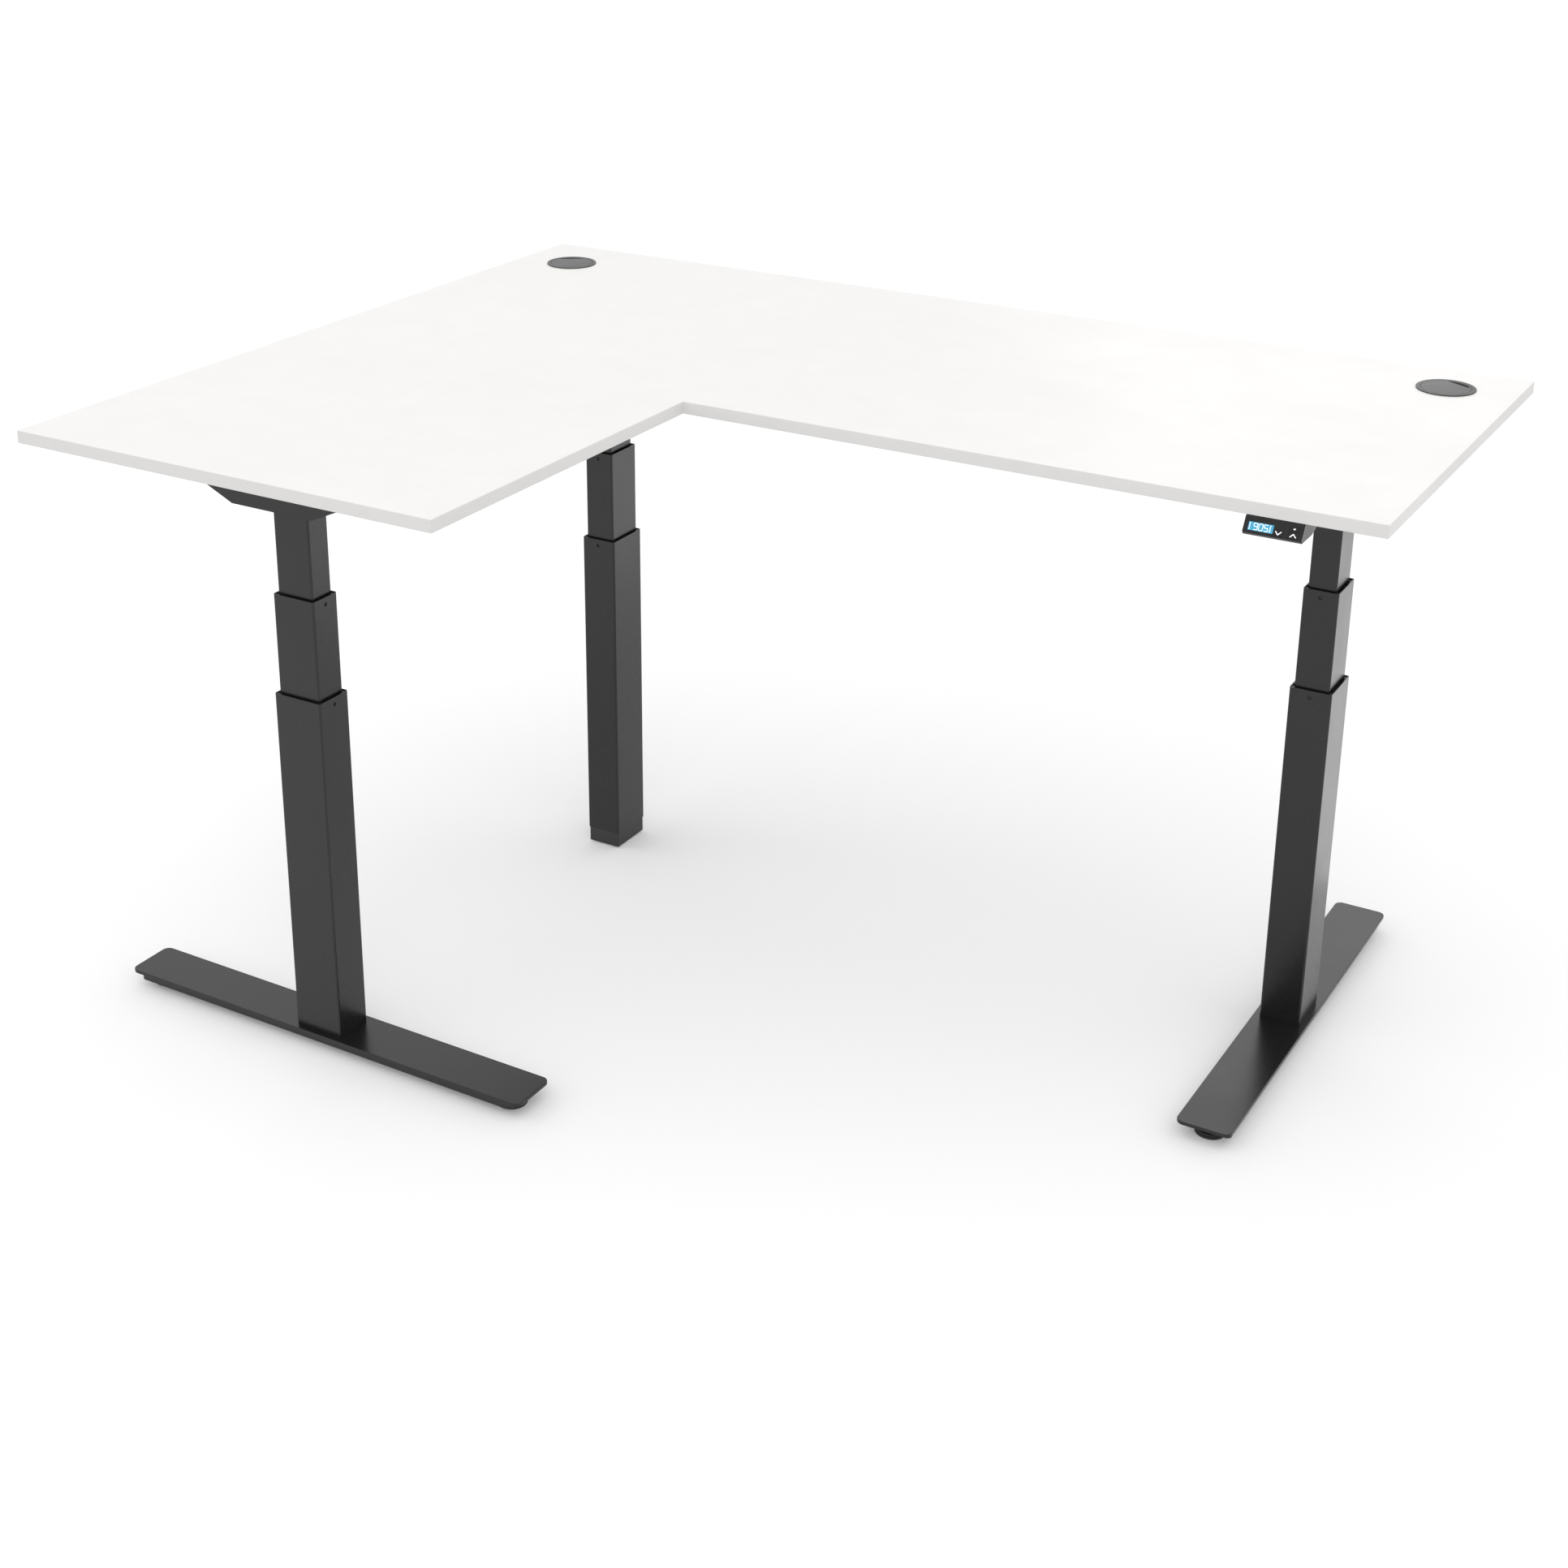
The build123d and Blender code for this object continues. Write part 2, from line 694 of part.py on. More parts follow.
def frame_screws(beams):
    """The wood screws up into the desktop and the bolts through the beams' end plates."""
    head_width, head_height = wood_screw_head
    with BuildPart() as screws:
        with BuildSketch(Plane.XY.offset(underside - tray_wall)):
            with Locations(*pilot_holes):
                Circle(wood_screw_diameter / 2)
        extrude(amount=tray_wall + wood_screw_depth)
        with BuildSketch(Plane.XY.offset(underside - tray_wall - head_height)):
            with Locations(*pilot_holes):
                Circle(head_width / 2)
        extrude(amount=head_height)
        for start, length in beams:
            near_plate = start.offset(end_plate[2])
            far_plate = start.offset(length - end_plate[2])
            for face, towards in ((near_plate, 1), (far_plate, -1)):
                with BuildSketch(face):
                    with Locations(*plate_bolts()):
                        Circle(bolt_diameter / 2)
                extrude(amount=-towards * (end_plate[2] + tray_wall))
                with BuildSketch(face):
                    with Locations(*plate_bolts()):
                        RegularPolygon(bolt_head[0] / 2, 6, major_radius=False)
                extrude(amount=towards * bolt_head[1])
    save(screws, "frame_screws")


# --- desktop and grommets --------------------------------------------------------------------------
grommets = {
    "corner": (left_x + corner_grommet_inset[0], back_y - corner_grommet_inset[1], corner_slot_angle),
    "right": (right_x - right_grommet_inset[0], back_y - right_grommet_inset[1], right_slot_angle),
}


def desktop():
    """The laminated board with its grommet holes and blind pilot holes, and the band round its edge."""
    holes = [(x, y) for x, y, _ in grommets.values()]
    with BuildPart() as board:
        with BuildSketch(Plane.XY.offset(underside)):
            desk_outline(band_thickness)
            with Locations(*holes):
                Circle(grommet_hole / 2, mode=Mode.SUBTRACT)
        extrude(amount=top_thickness)
        with BuildSketch(Plane.XY.offset(underside)):
            with Locations(*pilot_holes):
                Circle(wood_screw_diameter / 2)
        extrude(amount=wood_screw_depth, mode=Mode.SUBTRACT)
    save(board, "desktop")
    with BuildPart() as band:
        with BuildSketch(Plane.XY.offset(underside)):
            desk_outline(0)
        extrude(amount=top_thickness)
        outer = band.edges().group_by(Axis.Z)
        fillet(outer[-1] + outer[0], edge_round)
        with BuildSketch(Plane.XY.offset(underside)):
            desk_outline(band_thickness)
        extrude(amount=top_thickness, mode=Mode.SUBTRACT)
    save(band, "edge_band")


def grommet(name, x, y, slot_angle):
    """A cable grommet: a flanged sleeve in the desktop's hole, and a turning cap with a slot."""
    top = desk_height + grommet_flange_height
    cap_bottom = top - cap_thickness
    sleeve_bore = grommet_hole - 2 * grommet_wall
    with BuildPart() as sleeve:
        with BuildSketch(Plane.XY.offset(desk_height)):
            with Locations((x, y)):
                Circle(grommet_flange / 2)
        extrude(amount=grommet_flange_height)
        fillet(sleeve.edges().group_by(Axis.Z)[-1], edge_round)
        with BuildSketch(Plane.XY.offset(desk_height)):
            with Locations((x, y)):
                Circle(grommet_hole / 2)
        extrude(amount=-grommet_depth)
        with BuildSketch(Plane.XY.offset(cap_bottom)):
            with Locations((x, y)):
                Circle(sleeve_bore / 2)
        extrude(amount=cap_thickness, mode=Mode.SUBTRACT)
        with BuildSketch(Plane.XY.offset(desk_height - grommet_depth)):
            with Locations((x, y)):
                Circle(sleeve_bore / 2 - grommet_ledge)
        extrude(amount=grommet_depth, mode=Mode.SUBTRACT)
    save(sleeve, f"{name}_grommet_sleeve")

    slot = Plane(
        origin=(x, y, cap_bottom), x_dir=(cos(radians(slot_angle)), sin(radians(slot_angle)), 0)
    )
    with BuildPart() as cap:
        with BuildSketch(slot):
            Circle(cap_diameter / 2)
        extrude(amount=cap_thickness)
        fillet(cap.edges().group_by(Axis.Z)[-1], edge_round / 2)
        with BuildSketch(slot):
            Circle(cap_slot_radius)
            with Locations((cap_slot_chord - cap_slot_radius, 0)):
                Rectangle(2 * cap_slot_radius, 2 * cap_slot_radius, mode=Mode.SUBTRACT)
        extrude(amount=cap_thickness, mode=Mode.SUBTRACT)
    save(cap, f"{name}_grommet_cap")


# --- keypad ----------------------------------------------------------------------------------------
keypad_x = right_x - keypad_inset
tilt = radians(keypad_tilt)
face_out = (0, -cos(tilt), sin(tilt))
face_down = (-sin(tilt), -cos(tilt))


def face_plane(depth):
    """The keypad's sloping face, or a plane below it; local X to the right, local Y up the slope."""
    top_edge = (keypad_x, inner_y, underside - keypad_top_gap)
    return Plane(origin=top_edge, x_dir=(1, 0, 0), z_dir=face_out).offset(-depth)


def keypad():
    """The wedge housing under the desk's front edge, its fascia, display, board and three keys."""
    back = face_plane(fascia_thickness).origin
    foot_point = (back.Y + face_down[0] * keypad_face, back.Z + face_down[1] * keypad_face)
    side_plane = Plane(origin=(keypad_x, 0, 0), x_dir=(0, 1, 0), z_dir=(1, 0, 0))
    floor_z = underside - keypad_floor_drop
    rear = inner_y + keypad_depth
    with BuildPart() as housing:
        with BuildSketch(side_plane):
            with BuildLine():
                Polyline(
                    (back.Y, back.Z),
                    (back.Y, underside),
                    (rear, underside),
                    (rear, underside - keypad_back_drop),
                    (inner_y + keypad_depth / 2, floor_z),
                    (foot_point[0] + keypad_toe, floor_z),
                    foot_point,
                    close=True,
                )
            make_face()
        extrude(amount=keypad_width / 2, both=True)
        fillet(housing.edges().filter_by(Axis.Z).group_by(Axis.Y)[-1], keypad_rear_round)
        with BuildSketch(Plane.XY.offset(underside)):
            with Locations((keypad_x, rear - keypad_wall - keypad_pocket / 2)):
                RectangleRounded(keypad_width - 2 * keypad_wall, keypad_pocket, keypad_wall / 2)
        extrude(amount=-(keypad_back_drop - keypad_wall), mode=Mode.SUBTRACT)
        with BuildSketch(face_plane(fascia_thickness)):
            for u, v, width, height in keys.values():
                with Locations((u, v)):
                    Rectangle(width + 4 * key_gap, height + 4 * key_gap)
        extrude(amount=-(key_travel + key_pocket_margin), mode=Mode.SUBTRACT)
    save(housing, "keypad_housing")

    with BuildPart() as fascia:
        with BuildSketch(face_plane(fascia_thickness)):
            with Locations((0, -keypad_face / 2)):
                RectangleRounded(keypad_width, keypad_face, fascia_corner)
                Rectangle(keypad_width, keypad_face / 2, align=(Align.CENTER, Align.MIN))
            with Locations(display_place):
                Rectangle(*display_size, mode=Mode.SUBTRACT)
            for u, v, width, height in keys.values():
                with Locations((u, v)):
                    RectangleRounded(width + 2 * key_gap, height + 2 * key_gap, 1.2, mode=Mode.SUBTRACT)
        extrude(amount=fascia_thickness)
    save(fascia, "keypad_fascia")

    with BuildPart() as display:
        with BuildSketch(face_plane(fascia_thickness)):
            with Locations(display_place):
                Rectangle(*display_size)
        extrude(amount=display_thickness)
    save(display, "keypad_display")

    with BuildPart() as board:
        with BuildSketch(Plane.XY.offset(underside - keypad_back_drop + keypad_wall)):
            with Locations((keypad_x, rear - keypad_wall - keypad_pocket / 2)):
                Rectangle(
                    keypad_width - 2 * (keypad_wall + keypad_board_gap),
                    keypad_pocket - 2 * keypad_board_gap,
                )
        extrude(amount=board_thickness)
    save(board, "keypad_board")

    for name, (u, v, width, height) in keys.items():
        with BuildPart() as key:
            with BuildSketch(face_plane(key_thickness - key_proud)):
                with Locations((u, v)):
                    RectangleRounded(width, height, 1.0)
            extrude(amount=key_thickness)
        save(key, name)


# --- control box -----------------------------------------------------------------------------------
def control_box():
    """The control box under the top: a tray of sockets, its board, and a lid with screw ears."""
    x, y = box_place
    length, depth, height = box_size
    with BuildPart() as base:
        with BuildSketch(Plane.XY.offset(underside - height)):
            with Locations((x, y)):
                RectangleRounded(length, depth, box_corner)
        extrude(amount=height - tray_wall)
        fillet(base.edges().group_by(Axis.Z)[0], box_edge_round)
        with BuildSketch(Plane.XY.offset(underside - height + box_wall)):
            with Locations((x, y)):
                RectangleRounded(length - 2 * box_wall, depth - 2 * box_wall, box_corner - box_wall)
        extrude(amount=height - box_wall, mode=Mode.SUBTRACT)
        ports = Plane(
            origin=(x, y - depth / 2, underside - height / 2), x_dir=(1, 0, 0), z_dir=(0, -1, 0)
        )
        with BuildSketch(ports):
            with GridLocations(socket_spacing, 0, socket_count, 1):
                Rectangle(*socket_size)
        extrude(amount=-socket_depth, mode=Mode.SUBTRACT)
    save(base, "control_box_base")
    board_size = (length - 2 * box_wall - board_gap, depth - 2 * box_wall - board_gap)
    with BuildPart() as board:
        with BuildSketch(Plane.XY.offset(underside - height + box_wall)):
            with Locations((x, y)):
                Rectangle(*board_size)
        extrude(amount=board_thickness)
        for u, v, part_length, part_depth, part_height in board_parts:
            with BuildSketch(Plane.XY.offset(underside - height + box_wall + board_thickness)):
                with Locations((x + u, y + v)):
                    Rectangle(part_length, part_depth)
            extrude(amount=part_height)
    save(board, "control_board")
    screws = [(x + i * (length + box_ear) / 2, y) for i in (-1, 1)]
    with BuildPart() as lid:
        with BuildSketch(Plane.XY.offset(underside - tray_wall)):
            with Locations((x, y)):
                RectangleRounded(length, depth, box_corner)
                RectangleRounded(length + 2 * box_ear, depth / 2, box_corner)
            with Locations(*screws):
                Circle(wood_screw_diameter / 2, mode=Mode.SUBTRACT)
        extrude(amount=tray_wall)
    pilot_holes.extend(screws)
    save(lid, "control_box_lid")


for column_side in columns:
    column(column_side)
lift_nuts()
for foot_side in ("left", "right"):
    foot(foot_side)
    for end, spot in zip(("front", "rear"), leveller_places(foot_side)):
        leveller(
            f"{foot_side}_{end}_leveller", spot, leveller_diameter, leveller_pad,
            base_height - foot_plate - stud_top_gap,
        )
    side_tray(foot_side)
corner_foot()
corner_head()
control_box()
frame_screws([beam(beam_side) for beam_side in ("left", "right")])
drive_units()
desktop()
for grommet_name, (grommet_x, grommet_y, grommet_slot) in grommets.items():
    grommet(grommet_name, grommet_x, grommet_y, grommet_slot)
keypad()
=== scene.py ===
"""Looks of the corner standing desk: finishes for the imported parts, and the detailed pieces around them."""

import json
from math import atan2, cos, pi, radians, sin

import bpy
import bmesh
from mathutils import Matrix, Vector


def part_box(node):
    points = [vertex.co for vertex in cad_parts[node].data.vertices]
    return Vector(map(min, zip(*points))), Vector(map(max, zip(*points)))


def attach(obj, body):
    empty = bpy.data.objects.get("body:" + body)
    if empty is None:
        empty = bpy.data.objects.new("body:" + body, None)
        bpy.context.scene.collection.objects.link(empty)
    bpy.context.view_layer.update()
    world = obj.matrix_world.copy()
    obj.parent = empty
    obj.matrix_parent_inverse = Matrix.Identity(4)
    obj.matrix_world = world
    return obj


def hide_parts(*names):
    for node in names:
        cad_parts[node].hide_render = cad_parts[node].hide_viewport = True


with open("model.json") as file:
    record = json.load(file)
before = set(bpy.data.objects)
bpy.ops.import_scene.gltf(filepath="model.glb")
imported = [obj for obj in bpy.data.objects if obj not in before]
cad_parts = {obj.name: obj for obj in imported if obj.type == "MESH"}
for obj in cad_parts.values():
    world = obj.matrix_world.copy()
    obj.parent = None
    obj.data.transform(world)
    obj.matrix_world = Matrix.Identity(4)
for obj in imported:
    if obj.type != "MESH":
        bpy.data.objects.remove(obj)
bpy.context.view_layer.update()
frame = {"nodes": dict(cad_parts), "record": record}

MM = 0.001
SIDES = ("left", "corner", "right")

# --- camera and light --------------------------------------------------------------------------------
EYE = (1.555, -2.813, 1.876)
AIM = (-0.4125, 0.4497, 0.450)
LENS = 55.0
SENSOR_WIDTH = 36.0
SHIFT = (0.0445, -0.1429)
FLOOR_SIZE = 30.0
FLOOR_DROP = 0.0003
FLOOR_WHITE = (0.85, 0.85, 0.85, 1)
FLOOR_BOUNCE = (0.5, 0.5, 0.5, 1)
FLOOR_GLOW = 0.12
SKY_STRENGTH = 1.12
LAMPS = (  # name, place, aimed at, size, power, lights surfaces, shows in reflections
    ("key", (1.6, -3.4, 3.4), (0, 0, 0.6), 2.4, 16.0, True, True),
    ("side", (-3.6, -1.0, 2.6), (0, 0, 0.6), 2.0, 8.0, True, False),
    ("floor_panel", (1.35, 1.75, 0.02), (1.35, 1.75, 1.0), 2.4, 9.0, False, True),
    ("back_panel", (0.0, 2.5, 1.6), (0.7, 0.1, 0.0), 1.4, 3.4, False, True),
)

# --- finishes: base colours are linear ---------------------------------------------------------------
FRAME_PAINT = (0.0088, 0.0088, 0.0090, 1)
FRAME_PAINT_WORN = (0.06, 0.06, 0.06, 1)
WHITE_TOP = (0.775, 0.767, 0.752, 1)
WHITE_EDGE = (0.76, 0.752, 0.738, 1)
NYLON = (0.012, 0.012, 0.0125, 1)
RUBBER = (0.016, 0.016, 0.016, 1)
GREY_CAP = (0.062, 0.062, 0.063, 1)
STEEL = (0.56, 0.56, 0.57, 1)
ZINC = (0.60, 0.60, 0.57, 1)
CAST = (0.46, 0.46, 0.47, 1)
BRONZE = (0.60, 0.39, 0.17, 1)
GLOSS = (0.011, 0.011, 0.012, 1)
BOX_PLASTIC = (0.022, 0.022, 0.024, 1)
BOARD_GREEN = (0.012, 0.11, 0.045, 1)
DISPLAY_BLUE = (0.045, 0.34, 0.54, 1)
MARK_WHITE = (0.9, 0.92, 0.93, 1)

# --- small pieces: lengths in metres -----------------------------------------------------------------
KEYPAD_TILT = radians(32.3)
FASCIA_THICKNESS = 2.0 * MM
DISPLAY_DEPTH = 0.3 * MM
KEY_HEIGHT = 0.4 * MM
MARK_THICKNESS = 0.08 * MM
DIGIT_HEIGHT = 8.2 * MM
DIGIT_WIDTH = 4.7 * MM
DIGIT_PITCH = 6.6 * MM
SEGMENT_WIDTH = 0.85 * MM
SCALE_PLACES = (-14.2 * MM, 11.9 * MM)
SCALE_MARKS = 5
SCALE_PITCH = 1.9 * MM
SCALE_MARK_SIZE = (1.5 * MM, 1.1 * MM)
CHEVRON_SPAN = 7.4 * MM
CHEVRON_RISE = 4.0 * MM
CHEVRON_LINE = 1.15 * MM
MEMORY_LINE_SIZE = (1.9 * MM, 0.6 * MM)
MEMORY_LINE_PITCH = 0.85 * MM
BEAD_WIDTH = 0.45 * MM
BEAD_DROP = 1.5 * MM
BEAD_END_GAP = 2 * MM
PIN_BELOW_RIM = 10 * MM
PIN_RADIUS = 2.7 * MM
PAD_HEIGHT = 8 * MM
CORNER_PAD_HEIGHT = 2 * MM
STUD_RADIUS = 4.95 * MM
SCREW_HEAD_RADIUS = 4.7 * MM
SCREW_HEAD_HEIGHT = 2.8 * MM
SCREW_SHANK_RADIUS = 2.45 * MM
SCREW_POINT_LENGTH = 2.5 * MM
SCREW_POINT_RADIUS = 0.5 * MM
DRIVER_SLOT_WIDTH = 0.95 * MM
DRIVER_SLOT_DEPTH = 1.0 * MM
BOLT_HEAD_RADIUS = 5.7 * MM
BOLT_HEAD_HEIGHT = 4.0 * MM
BOLT_WASHER_RADIUS = 5.0 * MM
BOLT_WASHER_HEIGHT = 0.4 * MM
BOLT_SHANK_RADIUS = 2.95 * MM
THREAD_PITCH = 1.6 * MM
MOTOR_RADIUS = 24 * MM
BRUSH_CAP_RADIUS = 3.2 * MM
BRUSH_CAP_FROM_END = 6.5 * MM
COVER_THICKNESS = 1.8 * MM
COVER_MARGIN = 3 * MM
COVER_SCREW_INSET = 8.5 * MM
COVER_SCREW_LENGTH = 9 * MM
SOCKET_COUNT = 6
SOCKET_PITCH = 26 * MM
SOCKET_OPENING = (15.4 * MM, 8.4 * MM)
SOCKET_POCKET = 1.5 * MM
SHROUD_DEPTH = 1.4 * MM
SHROUD_WALL = 1.1 * MM
SOCKET_PIN_COLUMNS = 4
SOCKET_PIN_PITCH = (2.8 * MM, 3.0 * MM)
SOCKET_PIN_SIZE = (0.6 * MM, 1.1 * MM, 0.6 * MM)
RIB_COUNT = 14
RIB_PITCH = 9 * MM
RIB_SIZE = (2.6 * MM, 70 * MM, 1.8 * MM)
RIB_DROP = 0.4 * MM


# ===== shader node groups =====
FLOAT = "NodeSocketFloat"
VECTOR = "NodeSocketVector"


def new_group(name, inputs, outputs):
    """An empty shader node group with named sockets; inputs are (name, kind, default)."""
    group = bpy.data.node_groups.new(name, "ShaderNodeTree")
    for label, kind, default in inputs:
        socket = group.interface.new_socket(label, in_out="INPUT", socket_type=kind)
        socket.default_value = default
    for label, kind in outputs:
        group.interface.new_socket(label, in_out="OUTPUT", socket_type=kind)
    enter = group.nodes.new("NodeGroupInput")
    leave = group.nodes.new("NodeGroupOutput")
    return group, enter, leave


def maths(tree, operation, first, second):
    """A math node whose two inputs are numbers or sockets."""
    node = tree.nodes.new("ShaderNodeMath")
    node.operation = operation
    for index, value in enumerate((first, second)):
        if isinstance(value, (int, float)):
            node.inputs[index].default_value = value
        else:
            tree.links.new(value, node.inputs[index])
    return node.outputs[0]


def noise(tree, vector, scale, detail=2.0, roughness=0.5):
    """A noise texture on a vector, with a fixed or linked scale."""
    node = tree.nodes.new("ShaderNodeTexNoise")
    tree.links.new(vector, node.inputs["Vector"])
    if isinstance(scale, (int, float)):
        node.inputs["Scale"].default_value = scale
    else:
        tree.links.new(scale, node.inputs["Scale"])
    node.inputs["Detail"].default_value = detail
    node.inputs["Roughness"].default_value = roughness
    return node.outputs["Fac"]


def spread(tree, value, low, high, to_low=0.0, to_high=1.0):
    """Maps a value's range onto another range, and keeps it inside."""
    node = tree.nodes.new("ShaderNodeMapRange")
    tree.links.new(value, node.inputs["Value"])
    node.inputs["From Min"].default_value = low
    node.inputs["From Max"].default_value = high
    for name, bound in (("To Min", to_low), ("To Max", to_high)):
        if isinstance(bound, (int, float)):
            node.inputs[name].default_value = bound
        else:
            tree.links.new(bound, node.inputs[name])
    return node.outputs["Result"]


def coat_texture_group():
    """The soft pebble of powder coat or moulded plastic: a height, and where it lies thicker."""
    group, enter, leave = new_group(
        "coat_texture",
        [("Vector", VECTOR, (0, 0, 0)), ("Pebble Scale", FLOAT, 900.0)],
        [("Height", FLOAT), ("Thickness", FLOAT)],
    )
    place = enter.outputs["Vector"]
    scale = enter.outputs["Pebble Scale"]
    pebble = noise(group, place, scale, 3.0, 0.45)
    fine = noise(group, place, maths(group, "MULTIPLY", scale, 3.1))
    broad = noise(group, place, maths(group, "MULTIPLY", scale, 0.012))
    height = maths(group, "ADD", pebble, maths(group, "MULTIPLY", fine, 0.35))
    group.links.new(height, leave.inputs["Height"])
    group.links.new(spread(group, broad, 0.35, 0.65), leave.inputs["Thickness"])
    return group


def edge_wear_group():
    """Where corners and edges are rubbed bright: the angle a bevel would take, broken up by noise."""
    group, enter, leave = new_group(
        "edge_wear",
        [("Vector", VECTOR, (0, 0, 0)), ("Broken Scale", FLOAT, 60.0), ("Strength", FLOAT, 0.5)],
        [("Mask", FLOAT)],
    )
    round_normal = group.nodes.new("ShaderNodeBevel")
    round_normal.samples = 3
    round_normal.inputs["Radius"].default_value = 0.8 * MM
    plain = group.nodes.new("ShaderNodeNewGeometry")
    dot = group.nodes.new("ShaderNodeVectorMath")
    dot.operation = "DOT_PRODUCT"
    group.links.new(round_normal.outputs["Normal"], dot.inputs[0])
    group.links.new(plain.outputs["Normal"], dot.inputs[1])
    bent = spread(group, dot.outputs["Value"], 0.995, 0.86)
    grain = noise(group, enter.outputs["Vector"], enter.outputs["Broken Scale"], 4.0)
    broken = spread(group, grain, 0.42, 0.62)
    mask = maths(group, "MULTIPLY", bent, broken)
    mask = maths(group, "MULTIPLY", mask, enter.outputs["Strength"])
    group.links.new(mask, leave.inputs["Mask"])
    return group


def handling_group():
    """Faint dust and hand marks: a broad mask that makes a surface a little rougher in patches."""
    group, enter, leave = new_group(
        "handling",
        [("Vector", VECTOR, (0, 0, 0)), ("Patch Scale", FLOAT, 6.0)],
        [("Patches", FLOAT), ("Specks", FLOAT)],
    )
    place = enter.outputs["Vector"]
    scale = enter.outputs["Patch Scale"]
    patches = noise(group, place, scale, 5.0, 0.6)
    specks = noise(group, place, maths(group, "MULTIPLY", scale, 60.0))
    group.links.new(spread(group, patches, 0.4, 0.68), leave.inputs["Patches"])
    group.links.new(spread(group, specks, 0.66, 0.74), leave.inputs["Specks"])
    return group


def drawn_lines_group():
    """Fine lines drawn along one axis, as on rolled or turned metal."""
    group, enter, leave = new_group(
        "drawn_lines",
        [("Vector", VECTOR, (0, 0, 0)), ("Stretch", VECTOR, (1.0, 1.0, 0.02))],
        [("Height", FLOAT), ("Shade", FLOAT)],
    )
    scaled = group.nodes.new("ShaderNodeVectorMath")
    scaled.operation = "MULTIPLY"
    group.links.new(enter.outputs["Vector"], scaled.inputs[0])
    group.links.new(enter.outputs["Stretch"], scaled.inputs[1])
    lines = noise(group, scaled.outputs["Vector"], 1600.0, 3.0, 0.6)
    group.links.new(lines, leave.inputs["Height"])
    group.links.new(spread(group, lines, 0.3, 0.7), leave.inputs["Shade"])
    return group


GROUPS = {
    "coat": coat_texture_group(),
    "wear": edge_wear_group(),
    "handling": handling_group(),
    "lines": drawn_lines_group(),
}


# ===== materials =====
def place_group(tree, key, vector, **values):
    """A copy of a shared node group in a material, fed by the object's own coordinates."""
    node = tree.nodes.new("ShaderNodeGroup")
    node.node_tree = GROUPS[key]
    tree.links.new(vector, node.inputs["Vector"])
    for name, value in values.items():
        node.inputs[name.replace("_", " ")].default_value = value
    return node


def start_material(name):
    """A new material: its tree, its Principled shader and its object coordinates."""
    material = bpy.data.materials.new(name)
    material.use_nodes = True
    tree = material.node_tree
    shader = tree.nodes["Principled BSDF"]
    coordinates = tree.nodes.new("ShaderNodeTexCoord")
    return material, tree, shader, coordinates.outputs["Object"]


def mix_colour(tree, mask, first, second):
    """A colour that goes from first to second as the mask goes from 0 to 1."""
    node = tree.nodes.new("ShaderNodeMix")
    node.data_type = "RGBA"
    tree.links.new(mask, node.inputs["Factor"])
    for index, colour in ((6, first), (7, second)):
        if isinstance(colour, tuple):
            node.inputs[index].default_value = colour
        else:
            tree.links.new(colour, node.inputs[index])
    return node.outputs[2]


def bump(tree, shader, height, distance, strength=1.0):
    """A bump from a height, in metres, on a shader's normal."""
    node = tree.nodes.new("ShaderNodeBump")
    node.inputs["Distance"].default_value = distance
    node.inputs["Strength"].default_value = strength
    tree.links.new(height, node.inputs["Height"])
    tree.links.new(node.outputs["Normal"], shader.inputs["Normal"])


def darker(colour, share):
    """The same colour with each channel scaled."""
    return tuple(channel * share for channel in colour[:3]) + (1,)


def coated(name, colour, worn, rough, pebble, depth, wear, shine=0.5, tone=0.06):
    """Powder coat or moulded plastic: pebbled, slightly uneven in tone and gloss, and rubbed at its edges."""
    material, tree, shader, place = start_material(name)
    texture = place_group(tree, "coat", place, Pebble_Scale=pebble)
    edges = place_group(tree, "wear", place, Strength=wear)
    marks = place_group(tree, "handling", place, Patch_Scale=5.0)
    body = mix_colour(tree, texture.outputs["Thickness"], darker(colour, 1 - tone), darker(colour, 1 + tone))
    tree.links.new(mix_colour(tree, edges.outputs["Mask"], body, worn), shader.inputs["Base Color"])
    gloss = spread(tree, marks.outputs["Patches"], 0.0, 1.0, rough[0], rough[1])
    tree.links.new(gloss, shader.inputs["Roughness"])
    shader.inputs["Specular IOR Level"].default_value = shine
    bump(tree, shader, texture.outputs["Height"], depth)
    return material


def metal(name, colour, rough, stretch, depth=0.01 * MM, wear=0.2):
    """Bare metal with drawn lines, and a slightly brighter edge."""
    material, tree, shader, place = start_material(name)
    lines = place_group(tree, "lines", place, Stretch=stretch)
    edges = place_group(tree, "wear", place, Strength=wear, Broken_Scale=200.0)
    marks = place_group(tree, "handling", place, Patch_Scale=18.0)
    body = mix_colour(tree, lines.outputs["Shade"], darker(colour, 0.82), darker(colour, 1.08))
    bright = tuple(min(1.0, channel * 1.35) for channel in colour[:3]) + (1,)
    tree.links.new(mix_colour(tree, edges.outputs["Mask"], body, bright), shader.inputs["Base Color"])
    gloss = spread(tree, marks.outputs["Patches"], 0.0, 1.0, rough[0], rough[1])
    tree.links.new(gloss, shader.inputs["Roughness"])
    shader.inputs["Metallic"].default_value = 1.0
    bump(tree, shader, lines.outputs["Height"], depth)
    return material


